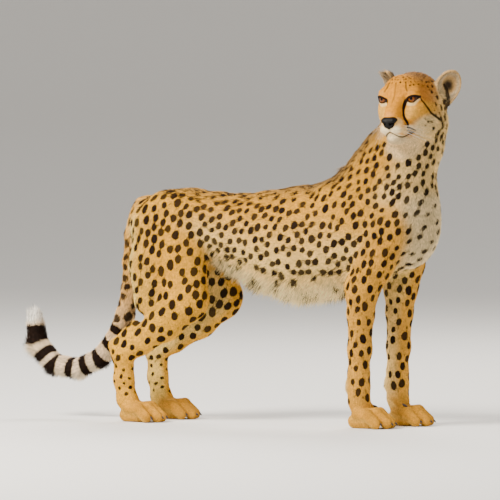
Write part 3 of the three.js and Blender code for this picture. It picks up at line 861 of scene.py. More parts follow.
def head_hair(q):
    """The hairs' length and distance apart on the head."""
    m = mirrored(q)
    back = ramp(-q[:, 0], -10, 90)
    low = ramp(-q[:, 2], 20, 90) * ramp(-q[:, 0], 0, 45)
    length = 3.2 + 4.3 * back + 7 * low
    eye = np.linalg.norm(m - EYE_AT, axis=1)
    length = np.minimum(length, 1.3 + 0.075 * np.maximum(eye - 20, 0) ** 1.2)
    muzzle = ramp(q[:, 0], 15, 40)
    length = length * (1 - 0.45 * muzzle)
    for side in (-1, 1):
        v, off = ear_place(q, side)
        on_ear = 1 - ramp(off, 2, 12)
        inside = on_ear * ramp(v[:, 0], -0.3, 0.1)
        length += on_ear * (5 - length)
        length += inside * 11 * (1 - ramp(np.hypot(v[:, 1], v[:, 2]), 0.7, 0.95))
    return length, 1.45 + 0.75 * back


def in_ears(p):
    """How far points are in the hollows of the ears, where long hair stands across."""
    q = to_head(p)
    total = np.zeros(len(p))
    for side in (-1, 1):
        v, off = ear_place(q, side)
        hollow = (1 - ramp(off, 0, 6)) * ramp(v[:, 0], -0.3, 0.1)
        total += hollow * (1 - ramp(np.hypot(v[:, 1], v[:, 2]), 0.6, 0.95))
    return total


def head_spots(q):
    """The spots' size, distance apart and stretch. The face has none of its own."""
    back = ramp(-q[:, 0], 20, 130)
    size = 2.7 + 3.0 * back
    gap = 12.5 + 10 * back
    return size, gap, np.full(len(q), 1.25)


# Marks of the face: points in the head's mirrored frame, half widths and darkness. They are
# moved onto the skin before use.
FACE_LINES = [
    (
        [[4, 30, -8], [6, 28, -13], [10, 26, -20], [14, 25, -28], [18, 25, -38], [20, 27, -48],
         [21, 30, -58], [20, 34, -69], [17, 37, -80]],
        [5.4, 5.6, 5.0, 4.3, 3.9, 4.0, 4.5, 5.0, 4.2], 1.0,
    ),  # from the eye to the corner of the mouth
    # three from the whisker pad back past the corner of the mouth, and a faint one over them
    ([[26, 39, -80], [12, 39, -83], [-4, 42, -89], [-12, 46, -94]], [2.2, 2.8, 2.4, 1.4], 0.95),
    ([[26, 38, -89], [13, 38, -91], [0, 39, -95], [-9, 43, -100]], [2.0, 2.8, 2.4, 1.4], 0.95),
    ([[10, 35, -101], [0, 38, -99], [-7, 43, -98]], [3.2, 3.4, 1.8], 0.95),
    ([[32, 36, -72], [22, 38, -74]], [1.8, 1.8], 0.6),
    # up from the brow, and down the middle of the forehead
    ([[-7, 28, 40], [-3, 29, 33], [1, 31, 27], [4, 37, 18]], [1.8, 3.0, 2.8, 1.8], 0.65),
    ([[-3, 0, 43], [9, 0, 18], [19, 0, -1], [27, 0, -14]], [1.8, 2.6, 2.2, 1.4], 0.42),
    (
        [[-13, 65, 3], [-19, 69, -12], [-27, 75, -27], [-44, 79, -49], [-66, 85, -65],
         [-87, 87, -79]],
        [2.2, 2.8, 3.2, 3.6, 3.6, 3.8], 0.95,
    ),  # from the outer corner of the eye down the cheek
    ([[-124, 80, 22], [-129, 84, 8], [-129, 85, -8], [-121, 91, -29], [-112, 88, -52]],
     [4, 6, 7, 6, 4], 0.9),  # in front of the ear's root
    (MOUTH, [2.2, 2.3, 2.3, 2.2, 2.2, 2.4, 2.6, 2.0], 0.85),
]
FACE_DOTS = [
    ([60, 9, -66], 10, 1.0), ([-78, 85, -53], 4.2, 0.95), ([-63, 84, -56], 3.8, 0.9),
    ([-36, 72, -71], 4.2, 0.95), ([-46, 77, -73], 4.2, 0.95), ([-54, 77, -93], 5.6, 1.0),
    ([-84, 85, -95], 5.0, 0.95), ([-26, 70, -62], 3.2, 0.8), ([-31, 66, -80], 3.4, 0.8),
    ([-67, 74, -113], 5.0, 0.9), ([-90, 75, -127], 5.5, 0.9), ([-100, 87, -75], 4.6, 0.9),
    ([-58, 82, -42], 3.2, 0.8), ([-50, 82, -30], 2.6, 0.7), ([-66, 84, -22], 3.0, 0.7),
    ([-20, 12, 56], 2.8, 0.8), ([-27, 27, 52], 3.2, 0.85), ([-33, 5, 57], 2.8, 0.75),
    ([-30, 40, 46], 2.8, 0.7), ([-48, 34, 50], 3.6, 0.85), ([-45, 15, 58], 3.2, 0.8),
    ([-62, 48, 44], 3.6, 0.8), ([-64, 28, 56], 3.6, 0.85), ([-66, 8, 60], 3.4, 0.8),
    ([-83, 18, 60], 3.8, 0.85), ([-85, 40, 52], 3.8, 0.85), ([-82, 60, 38], 3.8, 0.75),
    ([-50, 60, 30], 2.6, 0.6), ([-66, 66, 14], 2.8, 0.6), ([-84, 74, 2], 3.0, 0.65),
    ([-10, 42, 36], 2.4, 0.6), ([-36, 54, 34], 2.6, 0.6), ([-12, 18, 50], 2.4, 0.7),
]


def on_skin(points, step=3.0):
    """Points of the head moved onto the skin, with more along the line between them."""
    points = np.array(points, float)
    if len(points) > 1:
        gaps = np.linalg.norm(np.diff(points, axis=0), axis=1)
        arc = np.concatenate([[0], np.cumsum(gaps)])
        fine = np.linspace(0, arc[-1], max(int(arc[-1] / step), 2) + 1)
        points = np.stack([np.interp(fine, arc, axis) for axis in points.T], axis=1)
        share = fine / arc[-1]
    else:
        share = np.zeros(1)
    place = settle(skin_field, from_head(points), 4, 5)
    return to_head(place), share


UNMARKED = 50.0  # the distance outside a mark where there is none near


class FaceMarks:
    """The face's lines and dots, moved onto the skin."""

    def __init__(self):
        self.lines = []
        for points, widths, dark in FACE_LINES:
            line, share = on_skin(points)
            arc = np.linspace(0, 1, len(widths))
            self.lines.append((line, np.interp(share, arc, widths), dark))
        places, _ = zip(*[on_skin([at]) for at, _, _ in FACE_DOTS])
        self.dots = [(place[0], size, dark) for place, (_, size, dark) in zip(places, FACE_DOTS)]

    def at(self, q):
        """How far points are outside the marks, and how dark those are."""
        m = mirrored(q)
        mark, ink = np.full(len(q), UNMARKED), np.zeros(len(q))
        for line, widths, dark in self.lines:
            near = np.flatnonzero(within(m, line.min(0) - 12, line.max(0) + 12))
            darken(mark, ink, tube(m[near], line, widths), dark, near)
        for at, size, dark in self.dots:
            darken(mark, ink, np.linalg.norm((m - at) * [1, 1, 0.8], axis=1) - size, dark)
        v = m - EYE_AT
        # the dark rim is wider over the eye: part of it is the black lid line, and the rest is painted
        # shade from the brow
        rim = 1.6 + 2.8 * ramp(v[:, 2], -3, 2)
        lid = np.where(np.linalg.norm(v, axis=1) < EYE_RADIUS + 8, lid_opening(m) - rim, 20)
        darken(mark, ink, lid, 1.0)
        return mark, ink


def darken(mark, ink, distance, dark, at=slice(None)):
    """Lays a mark over those there, where it is nearer, at all points or only some."""
    part, shade = mark[at], ink[at]
    nearer = distance < part
    part[nearer] = distance[nearer]
    shade[nearer] = np.broadcast_to(dark, distance.shape)[nearer]
    mark[at], ink[at] = part, shade


# ------------------------------------------------------------------ markings

# Along the tail's middle line: the middles and half widths of its rings, of those that are
# broken, and where its spots end.
TAIL_RINGS = [(402, 11), (454, 12), (502, 12), (549, 12), (605, 13), (646, 14), (712, 27)]
TAIL_BLOTCHES = [(352, 11)]
TAIL_SPOTS_END = 326
TAIL_WHITE = 736  # where its white tip begins
TAIL_REACH = 60  # points farther than this from the tail's middle line are not on it
TAIL_PALE, TAIL_TIP, FRINGE_COLOUR = (240, 228, 206), (250, 244, 232), (255, 232, 172)


def tail_arc(p):
    """How far along the tail's middle line points are, how high over it and how far off it."""
    stations = np.array(tail_stations())
    best = np.full(len(p), FAR)
    arc, over = np.zeros(len(p)), np.zeros(len(p))
    for n, (a, b) in enumerate(zip(stations, stations[1:])):
        along = unit(b[:3] - a[:3])
        t = np.clip((p - a[:3]) @ along, 0, TAIL_STEP)
        v = p - a[:3] - t[:, None] * along
        off = np.sqrt(dots(v, v))
        nearer = off < best
        best[nearer] = off[nearer]
        arc[nearer] = n * TAIL_STEP + t[nearer]
        over[nearer] = (v @ np.array([along[2], 0, -along[0]]))[nearer]
    return arc, over, best


def tail_marks(p):
    """How far points are outside the tail's rings and broken rings."""
    arc, over, off = tail_arc(p)
    slant = arc + 0.12 * over + 3 * np.sin(p[:, 1] * 0.09)
    mark = np.full(len(p), UNMARKED)
    for at, half in TAIL_RINGS:
        mark = np.minimum(mark, np.abs(slant - at - 0.04 * p[:, 1]) - half)
    for at, half in TAIL_BLOTCHES:
        broken = np.abs(slant - at) - half + 7 * np.maximum(np.cos(p[:, 1] * 0.12 + at), 0)
        mark = np.minimum(mark, broken)
    return np.where(off < TAIL_REACH, mark, UNMARKED)


SPOT_CLOSEST = 0.42  # of the sum of two spots' gaps
WIDEST_GAP = 60  # spots that would be wider apart than this are left out
SPOT_NUDGE = 5.5  # moves spots off the rows that the skin's points lie in
SMALL_SPOTS = {"clear": 4.2, "gap": 0.7, "share": 0.8, "size": (2.2, 3.6), "ink": (0.35, 0.8)}


def throw_spots(p, gap, keep, long, stretch, random):
    """Indices of points taken at random, no nearer to each other than their gaps allow. They
    are farther apart along the way that a spot is stretched."""
    order = random.permutation(np.flatnonzero(keep))
    taken = np.empty((len(order), 3))
    gaps = np.empty(len(order))
    chosen = []
    for i in order:
        n = len(chosen)
        v = taken[:n] - p[i]
        along = v @ long[i]
        apart = dots(v, v) - along**2 * (1 - 1 / stretch[i] ** 1.4)
        if n and np.any(apart < (SPOT_CLOSEST * (gaps[:n] + gap[i])) ** 2):
            continue
        taken[n], gaps[n] = p[i], gap[i]
        chosen.append(i)
    return np.array(chosen)


def spot_distance(p, spots):
    """How far points are outside the nearest spot, and how dark that is."""
    order = np.argsort(p[:, 0])
    x = p[order, 0]
    mark, ink = np.full(len(p), UNMARKED), np.zeros(len(p))
    for spot in spots:
        reach = spot["size"] * spot["stretch"] + 6
        start, end = np.searchsorted(x, [spot["at"][0] - reach, spot["at"][0] + reach])
        near = order[start:end]
        v = p[near] - spot["at"]
        close = dots(v, v) < reach * reach
        near, v = near[close], v[close]
        long, wide, deep = (v @ axis for axis in spot["axes"])
        around = np.arctan2(wide, long)
        wobble = 1 + spot["wobble"][0] * np.sin(2 * around + spot["turn"][0])
        wobble += spot["wobble"][1] * np.sin(3 * around + spot["turn"][1])
        away = np.sqrt((long / spot["stretch"]) ** 2 + wide**2 + (deep * 0.6) ** 2)
        darken(mark, ink, away - spot["size"] * wobble, spot["ink"], near)
    return mark, ink


def make_spots(p, normal, numbers, spot_lie, allowed):
    """Main spots, and small rusty ones in the gaps between them."""
    random = np.random.default_rng(11)
    nudge = random.uniform(-SPOT_NUDGE, SPOT_NUDGE, p.shape)
    p = p + nudge - normal * dots(nudge, normal)[:, None]
    long, stretch = unit(spot_lie), numbers[:, 4]
    keep = (allowed > random.random(len(p))) & (numbers[:, 3] < WIDEST_GAP)
    spots = []
    for i in throw_spots(p, numbers[:, 3], keep, long, stretch, random):
        spots.append(one_spot(p[i], normal[i], spot_lie[i], numbers[i], random))
    part_spots(spots)
    clear, _ = spot_distance(p, spots)
    free = (clear > SMALL_SPOTS["clear"]) & (allowed > 0.6) & (numbers[:, 2] > 6)
    for i in throw_spots(p, numbers[:, 3] * SMALL_SPOTS["gap"], free, long, stretch, random):
        if random.random() < SMALL_SPOTS["share"]:
            small = one_spot(p[i], normal[i], spot_lie[i], numbers[i], random)
            small["size"] = random.uniform(*SMALL_SPOTS["size"])
            small["ink"] = random.uniform(*SMALL_SPOTS["ink"])
            spots.append(small)
    return spots


def part_spots(spots):
    """Makes main spots smaller where they would touch."""
    at = np.array([spot["at"] for spot in spots])
    for spot in spots:
        v = at - spot["at"]
        along = v @ spot["axes"][0]
        apart = np.sqrt(dots(v, v) - along**2 * (1 - 1 / spot["stretch"] ** 2))
        spot["size"] = min(spot["size"], 0.5 * np.partition(apart, 1)[1] - 1.7)


def one_spot(at, normal, long, numbers, random):
    long = unit(long - normal * (long @ normal) + random.normal(0, 0.12, 3))
    wide = unit(np.cross(normal, long))
    return {
        "at": at, "axes": (long, wide, normal), "size": numbers[2] * random.uniform(0.72, 1.08),
        "stretch": numbers[4] * random.uniform(0.9, 1.1), "ink": random.uniform(0.94, 1.0),
        "wobble": (random.uniform(0, 0.07), random.uniform(0, 0.06)),
        "turn": random.uniform(0, 6.28, 2),
    }


def spots_allowed(p):
    """How likely spots are to be kept at points: none on the belly, throat, face and paws."""
    allowed = np.ones(len(p))
    q = to_head(p)
    on_head = (q[:, 0] > -135) & np.all(np.abs(q) < [190, 120, 130], axis=1)
    face = ramp(q[:, 0], -125, -60) * (1 - ramp(q[:, 2], 30, 42)) + ramp(q[:, 0], -20, 6)
    allowed = np.where(on_head, allowed * np.clip(1 - face, 0, 1), allowed)
    arc, _, off = tail_arc(p)
    allowed[(off < TAIL_REACH) & (arc > TAIL_SPOTS_END)] = 0
    allowed *= 1 - 0.97 * ramp(belly_fringe(p), 0.08, 0.36)
    breast = ramp(((p - BREAST["at"]) / BREAST["radii"]) @ unit(np.array([1, 0, -0.3])), 0.1, 0.6)
    allowed *= 1 - 0.45 * breast
    allowed[p[:, 2] < PAW_TOP] = 0
    allowed *= ramp(off_throat(p), 0.85, 1.15)
    for side in (-1, 1):
        _, off = ear_place(q, side)
        allowed[off < 8] = 0
    return allowed


# ------------------------------------------------------------------ making meshes


def placed(name, data):
    """A new object in the scene."""
    thing = bpy.data.objects.new(name, data)
    bpy.context.scene.collection.objects.link(thing)
    return thing


def mesh_of(name, vertices, faces):
    """A mesh from vertices in metres and faces that all have the same number of corners."""
    mesh = bpy.data.meshes.new(name)
    corners = np.ascontiguousarray(faces, dtype=np.int32)
    mesh.vertices.add(len(vertices))
    mesh.vertices.foreach_set("co", np.ascontiguousarray(vertices, dtype=np.float32).ravel())
    mesh.loops.add(corners.size)
    mesh.loops.foreach_set("vertex_index", corners.ravel())
    mesh.polygons.add(len(corners))
    starts = np.arange(0, corners.size, corners.shape[1], dtype=np.int32)
    mesh.polygons.foreach_set("loop_start", starts)
    mesh.update(calc_edges=True)
    return mesh


def new_piece(name, vertices, faces, material, replaced=()):
    """A piece of the model from vertices in the animal's frame."""
    mesh = mesh_of(name, to_row(vertices), faces)
    mesh.validate()
    mesh.shade_smooth()
    mesh.materials.append(material)
    piece = placed(name, mesh)
    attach(piece, "root")
    if replaced:
        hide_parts(*replaced)
    return piece


VALUE_FIELDS = {"FLOAT": "value", "FLOAT_VECTOR": "vector", "FLOAT_COLOR": "color"}


def store(piece, name, kind, values):
    attribute = piece.data.attributes.new(name, kind, "POINT")
    values = np.ascontiguousarray(values, dtype=np.float32).ravel()
    attribute.data.foreach_set(VALUE_FIELDS[kind], values)


def store_looks(piece, ground, lot, mark, ink, along):
    """What the coat's material reads at each vertex."""
    store(piece, "ground", "FLOAT_COLOR", np.concatenate([ground, lot[:, None]], axis=1))
    store(piece, "marks", "FLOAT_VECTOR", np.stack([mark, ink, along], axis=1))


def unwrap(piece):
    """Unwraps a piece by the directions that its faces face, and gives each corner's place."""
    for other in bpy.context.selected_objects:
        other.select_set(False)
    bpy.context.view_layer.objects.active = piece
    piece.select_set(True)
    piece.data.uv_layers.new(name="OFBake")
    bpy.ops.object.mode_set(mode="EDIT")
    bpy.ops.mesh.select_all(action="SELECT")
    bpy.ops.uv.smart_project(angle_limit=math.radians(66), island_margin=0.001)
    bpy.ops.object.mode_set(mode="OBJECT")
    uv = np.empty(len(piece.data.loops) * 2, dtype=np.float32)
    piece.data.uv_layers["OFBake"].data.foreach_get("uv", uv)
    return uv.reshape(-1, 2)


# ------------------------------------------------------------------ the skin with its data


class Skin:
    """The skin's mesh with what grows on it: the lie, lengths and colours of the hair."""

    def __init__(self):
        self.p, self.triangles = make_skin()
        self.normal = unit(slope(skin_field, self.p))
        self.room = np.maximum(coat_room(self.p), 0.5) + EAR["hair"] * in_ears(self.p)
        lie, spot_lie, self.numbers, self.ground = blend_looks(self.p)
        self.lie = lie - self.normal * dots(lie, self.normal)[:, None]
        self.spots = make_spots(self.p, self.normal, self.numbers, spot_lie, spots_allowed(self.p))
        self.long = long_hair(self.p)
        self.ground = long_hair_colour(self.p, self.ground)
        corners = self.p[self.triangles]
        cross = np.cross(corners[:, 1] - corners[:, 0], corners[:, 2] - corners[:, 0])
        self.area = np.linalg.norm(cross, axis=1) / 2
        self.zone = zone_of(corners.mean(axis=1))


# How much longer the hair is in places than the mass's own, in millimetres.
LONGER = {"belly": 50, "mane": 22, "crown": 10, "tail": 4, "tail_end": 12}


def long_hair(p):
    """How much longer than its neighbours' the hair is, in millimetres."""
    arc, _, off = tail_arc(p)
    on_tail = off < TAIL_REACH
    q = to_head(p)
    crown = ramp(q[:, 2], 26, 52) * ramp(-q[:, 0], 30, 80) * (1 - ramp(np.abs(q[:, 1]), 56, 76))
    extra = LONGER["belly"] * belly_fringe(p) + LONGER["mane"] * mane(p) + LONGER["crown"] * crown
    tail = LONGER["tail"] * ramp(arc, 60, 300) + LONGER["tail_end"] * ramp(arc, 560, 740)
    return extra + np.where(on_tail, tail, 0)


def mane(p):
    """How far a point is on the crest of the neck and the withers."""
    stations = np.array(NECK, float)
    axis = [np.interp(p[:, 2], stations[:, 2], stations[:, n]) for n in (0, 3)]
    behind = ramp((axis[0] - p[:, 0]) / axis[1], 0.35, 0.85)
    crest = behind * (1 - ramp(np.abs(p[:, 1]), 30, 84)) * ramp(p[:, 2], 590, 690)
    return crest * (1 - ramp(p[:, 2], 965, 1005))


def long_hair_colour(p, ground):
    """The ground colour with the tail's end, the mane and the belly's fringe."""
    arc, _, off = tail_arc(p)
    on_tail = ramp(TAIL_REACH - off, 0, 5)
    ground = tinted(ground, 0.6 * (on_tail * ramp(arc, 150, 520)), TAIL_PALE)
    ground = tinted(ground, on_tail * ramp(arc, TAIL_WHITE - 6, TAIL_WHITE + 4), TAIL_TIP)
    ground = tinted(ground, 0.85 * mane(p), MANE_COLOUR)
    return tinted(ground, 0.85 * ramp(belly_fringe(p), 0.1, 0.7), FRINGE_COLOUR)


def all_marks(p, spots):
    """The markings at points: how far outside a mark they are, and how dark it is."""
    mark, ink = spot_distance(p, spots)
    darken(mark, ink, tail_marks(p), 1.0)
    near = np.flatnonzero(within(p, *HEAD_BOUNDS))
    darken(mark, ink, *FACE.at(to_head(p[near])), near)
    return mark, ink


FACE = FaceMarks()
HEAD_BOUNDS = ((-40, -240, 780), (270, 120, 1050))
ZONES = [
    "coat_face", "coat_head", "coat_neck", "coat_breast", "coat_trunk_right", "coat_trunk_left",
    "coat_haunch_right", "coat_haunch_left", "coat_foreleg_right", "coat_foreleg_left",
    "coat_hindleg_right", "coat_hindleg_left", "coat_tail",
]


def zone_of(p):
    """Which piece of the coat grows at each point, as its place in ZONES."""
    x, y, z = p.T
    arc, _, off = tail_arc(p)
    left = (y >= 0).astype(int)  # the left piece of a pair comes next after the right one
    zone = ZONES.index("coat_trunk_right") + left
    head = z > 858
    regions = [
        ("coat_haunch_right", x < -520), ("coat_breast", (x > -60) & (z > 440)),
        ("coat_neck", (x > -60) & (z > 690)), ("coat_foreleg_right", (x > -200) & (z < 440)),
        ("coat_hindleg_right", (x < -420) & (z < 400)),
        ("coat_tail", (off < TAIL_REACH) & (arc > 4) & (x < -700)),
        ("coat_head", head), ("coat_face", head & (to_head(p)[:, 0] > -62)),
    ]
    for name, there in regions:  # a later one takes over from those before
        zone[there] = ZONES.index(name) + left[there] * name.endswith("_right")
    return zone


# ------------------------------------------------------------------ the coat


TUFT_PATCH = 0.003  # the side of a tuft's patch of the unwrap
LONG_TUFT = 17  # tufts longer than this are made of two lengths
SOLE_HEIGHT = 2.5  # no hair grows on skin lower than this
# How deep a tuft's root is, its half widths where each length begins, over its width, how far
# it turns from the lie of the coat, and the ranges that its own length, rise and width take.
TUFT = {
    "root_depth": 0.5, "halves": (0.5, 0.42), "turn": 0.13, "length": (0.75, 1.15),
    "rise": (0.6, 1.0), "width": (0.5, 0.75),
}


def grow(root, normal, lie, length, width, lift, droop, segments):
    """Three-sided tufts, tapered to a point, of one or two lengths end to end.

    Gives vertices, triangles, shading normals and how far along its tuft each vertex is."""
    side = np.cross(normal, lie)
    rise = np.stack([lift, lift * (1 - droop)], axis=1)[:, :segments]
    spine = [root - normal * TUFT["root_depth"]]
    for n in range(segments):
        aim = lie * np.cos(rise[:, n])[:, None] + normal * np.sin(rise[:, n])[:, None]
        spine.append(spine[-1] + aim * (length / segments)[:, None])
    count = len(root)
    rows, shades, along = [], [], []
    up = normal * np.cos(lift)[:, None] - lie * np.sin(lift)[:, None]
    for n in range(segments):
        half = (width * TUFT["halves"][n])[:, None]
        for out in (side, -side, up * 1.1):
            rows.append(spine[n] + out * half)
            shades.append(unit(normal + 0.35 * out))
            along.append(np.full(count, n / segments))
    rows.append(spine[-1])
    shades.append(unit(normal + 0.2 * lie))
    along.append(np.ones(count))
    per = len(rows)
    faces = [(0, 1, 2)]
    for n in range(segments - 1):
        a = 3 * n
        for i, j in ((0, 2), (2, 1), (1, 0)):
            faces += [(a + i, a + j, a + 3 + j), (a + i, a + 3 + j, a + 3 + i)]
    last = 3 * (segments - 1)
    faces += [(last + i, last + j, per - 1) for i, j in ((0, 2), (2, 1), (1, 0))]
    faces = np.array(faces)
    start = np.arange(count)[:, None, None] * per
    vertices = np.stack(rows, axis=1).reshape(-1, 3)
    shade = np.stack(shades, axis=1).reshape(-1, 3)
    return vertices, (start + faces).reshape(-1, 3), shade, np.stack(along, axis=1).ravel(), per


def comb(p):
    """Slow sideways waves in the lie of the hair, as an angle."""
    waves = np.sin(p[:, 0] * 0.043 + 1.7 * np.sin(p[:, 2] * 0.031))
    waves += np.sin(p[:, 2] * 0.057 + 1.3 * np.sin(p[:, 1] * 0.049 + p[:, 0] * 0.021))
    return 0.09 * waves


def locks(p):
    """Where the long hair gathers into locks, from -1 to 1."""
    across = np.sin(p[:, 1] * 0.23 + 1.7 * np.sin(p[:, 0] * 0.11 + p[:, 2] * 0.2))
    return np.sin(p[:, 0] * 0.26 + 1.9 * np.sin(p[:, 1] * 0.17 + p[:, 2] * 0.13)) * across


class Roots:
    """Where a zone's tufts grow from: places at random on its triangles of skin."""

    def __init__(self, skin, zone, random):
        own = np.flatnonzero(skin.zone == zone)
        self.triangles = skin.triangles[own]
        apart = skin.numbers[self.triangles, 1].mean(axis=1)
        off_sole = skin.p[self.triangles, 2].mean(axis=1) > SOLE_HEIGHT
        share = off_sole * skin.area[own] / apart**2
        count = np.floor(share + random.random(len(own))).astype(int)
        self.on = np.repeat(np.arange(len(own)), count)
        r = np.sqrt(random.random(len(self.on)))
        s = random.random(len(self.on))
        self.share = np.stack([1 - r, r * (1 - s), r * s], axis=1)[:, :, None]

    def between(self, values):
        """Values at the roots, from those at the corners of each root's triangle."""
        return np.sum(values * self.share, axis=1)

    def at(self, values):
        """The skin's values at the roots."""
        corners = values[self.triangles[self.on]]
        return self.between(corners) if values.ndim > 1 else self.between(corners[:, :, None])[:, 0]

    def flat(self, skin):
        """The roots on an unwrap of the stretch of skin that they grow on."""
        used, index = np.unique(self.triangles, return_inverse=True)
        mesh = mesh_of("stretch", skin.p[used] * MM, index.reshape(-1, 3))
        stretch = placed("stretch", mesh)
        uv = unwrap(stretch).reshape(-1, 3, 2)
        bpy.data.objects.remove(stretch)
        bpy.data.meshes.remove(mesh)
        return self.between(uv[self.on])


def grow_all(hairs, tall):
    """A zone's tufts: what grow gives of each, then whose tuft each vertex is and its place in
    the tuft's own patch of the unwrap."""
    grown, offset = [], 0
    for chosen, segments in ((~tall, 1), (tall, 2)):
        pick = np.flatnonzero(chosen)
        vertices, faces, shade, along, per = grow(*(values[pick] for values in hairs), segments)
        n = np.arange(per)
        patch = np.stack([0.5 + 0.5 * np.cos(n * 2.1), n / (per - 1)], axis=1) * TUFT_PATCH
        own = (np.repeat(pick, per), np.tile(patch, (len(pick), 1)))
        grown.append((vertices, faces + offset, shade, along, *own))
        offset += len(vertices)
    return [np.concatenate(part) for part in zip(*grown)]


def make_coat(skin, zone, material):
    random = np.random.default_rng(100 + zone)
    roots = Roots(skin, zone, random)
    root, normal, lie = roots.at(skin.p), unit(roots.at(skin.normal)), roots.at(skin.lie)
    lie = unit(lie - normal * dots(lie, normal)[:, None])
    turn = comb(root) + random.normal(0, TUFT["turn"], len(root))
    lie = lie * np.cos(turn)[:, None] + np.cross(normal, lie) * np.sin(turn)[:, None]
    numbers, long = roots.at(skin.numbers), roots.at(skin.long)
    shaggy = ramp(long, 3, 16)
    gather = 1 + 0.32 * shaggy * locks(root)
    length = (numbers[:, 0] + long) * gather * random.uniform(*TUFT["length"], len(root))
    depth = roots.at(skin.room) * (1 + 1.2 * shaggy * random.random(len(root)))
    rise = np.clip(depth / length * random.uniform(*TUFT["rise"], len(root)), 0.08, 0.8)
    droop = 0.9 - 1.7 * ramp(-normal[:, 2], 0.05, 0.6)  # hair underneath hangs out
    width = numbers[:, 1] * random.uniform(*TUFT["width"], len(root))
    lot = random.random(len(root))
    hairs = (root, normal, lie, length, width, np.arcsin(rise), droop)
    vertices, faces, shade, along, owner, patch = grow_all(hairs, length > LONG_TUFT)
    vertices[:, 2] = np.maximum(vertices[:, 2], FLOOR)
    above = dots(vertices - root[owner], normal[owner])[:, None] * normal[owner]
    mark, ink = all_marks(vertices - above, skin.spots)
    mark += ((lot - 0.5) * 0.45 * long)[owner]  # long hair frays the edges
    piece = new_piece(ZONES[zone], vertices, faces, material)
    store_looks(piece, roots.at(skin.ground)[owner], lot[owner], mark, ink, along)
    uv = (roots.flat(skin)[owner] + patch)[faces.ravel()]
    layer = piece.data.uv_layers.new(name="OFBake")
    layer.data.foreach_set("uv", np.clip(uv, 0, 1).astype(np.float32).ravel())
    piece.data.normals_split_custom_set_from_vertices(shade)


# ------------------------------------------------------------------ materials


class Nodes:
    """Short ways of adding shader nodes to a new material."""

    def __init__(self, name):
        self.material = bpy.data.materials.new(name)
        self.material.use_nodes = True
        self.tree = self.material.node_tree
        self.shader = self.tree.nodes["Principled BSDF"]

    def add(self, kind, inputs=(), **values):
        node = self.tree.nodes.new(kind)
        for key, value in values.items():
            setattr(node, key, value)
        for key, value in dict(inputs).items():
            self.put(node.inputs[key], value)
        return node

    def put(self, socket, value):
        if isinstance(value, bpy.types.NodeSocket):
            self.tree.links.new(value, socket)
        else:
            socket.default_value = value

    def set(self, **values):
        for key, value in values.items():
            self.put(self.shader.inputs[key.replace("_", " ")], value)

    def math(self, operation, a, b):
        return self.add("ShaderNodeMath", {0: a, 1: b}, operation=operation).outputs[0]

    def mix(self, factor, a, b, blend="MIX"):
        node = self.add("ShaderNodeMix", data_type="RGBA", blend_type=blend)
        self.put(node.inputs[0], factor)
        self.put(node.inputs[6], a)
        self.put(node.inputs[7], b)
        return node.outputs[2]

    def spread(self, value, low, high, to_low, to_high):
        names = ("Value", "From Min", "From Max", "To Min", "To Max")
        inputs = dict(zip(names, (value, low, high, to_low, to_high)))
        return self.add("ShaderNodeMapRange", inputs, interpolation_type="SMOOTHSTEP").outputs[0]

    def noise(self, scale, detail=3.0, place=None):
        place = place or self.add("ShaderNodeTexCoord").outputs["Object"]
        inputs = {"Vector": place, "Scale": scale, "Detail": detail}
        return self.add("ShaderNodeTexNoise", inputs).outputs["Fac"]

    def attribute(self, name):
        return self.add("ShaderNodeAttribute", attribute_name=name)

    def bump(self, height, strength, distance):
        inputs = {"Height": height, "Strength": strength, "Distance": distance}
        self.set(Normal=self.add("ShaderNodeBump", inputs).outputs[0])


def colour_of(rgb):
    return (*linear(rgb), 1.0)


def coat_material(name, bumpy):
    """Hair of the ground colour, dark inside the marks, with painted shade that darkens it toward its
    roots.
    """
    m = Nodes(name)
    ground = m.attribute("ground")
    marks = m.add("ShaderNodeSeparateXYZ", {0: m.attribute("marks").outputs["Vector"]})
    mark, ink, along = marks.outputs
    ragged = m.math("MULTIPLY", m.math("SUBTRACT", m.noise(330.0), 0.5), 2.0)
    strand = m.math("MULTIPLY", m.math("SUBTRACT", ground.outputs["Alpha"], 0.5), 1.6)
    edge = m.math("ADD", m.math("ADD", mark, ragged), strand)
    inside = m.math("MULTIPLY", m.spread(edge, -0.8, 0.8, 1.0, 0.0), ink)
    dark = m.mix(m.noise(70.0), colour_of((16, 8, 4)), colour_of((38, 21, 10)))
    lot = m.spread(ground.outputs["Alpha"], 0.0, 1.0, 0.72, 1.2)
    patchy = m.spread(m.noise(22.0, 4.0), 0.3, 0.7, 0.90, 1.10)
    fine = m.spread(m.noise(130.0, 3.0), 0.3, 0.7, 0.86, 1.12)
    # painted shade: each tuft is darker toward its root and lighter at its tip, as if shaded by the
    # hair over it
    depth = m.spread(along, 0.0, 0.9, 0.52, 1.1)
    light = m.math("MULTIPLY", m.math("MULTIPLY", lot, patchy), m.math("MULTIPLY", fine, depth))
    shade = m.add("ShaderNodeCombineColor", {0: light, 1: light, 2: light}).outputs[0]
    m.set(Base_Color=m.mix(1.0, m.mix(inside, ground.outputs["Color"], dark), shade, "MULTIPLY"))
    m.set(Roughness=0.76, IOR=1.45, Specular_IOR_Level=0.12)
    if bumpy:
        m.bump(m.noise(900.0), 0.5, 0.0006)
    return m.material


def nose_material():
    m = Nodes("nose_leather")
    pebbles = m.add("ShaderNodeTexVoronoi", {"Scale": 900.0}, feature="F1")
    m.put(pebbles.inputs["Vector"], m.add("ShaderNodeTexCoord").outputs["Object"])
    height = m.math("ADD", pebbles.outputs["Distance"], m.noise(300.0))
    m.set(Base_Color=m.mix(m.noise(160.0), colour_of((4, 3, 3)), colour_of((11, 8, 7))))
    m.set(Roughness=m.spread(m.noise(240.0), 0.3, 0.7, 0.42, 0.6))
    m.set(Specular_IOR_Level=0.14)
    m.bump(height, 0.35, 0.0005)
    return m.material


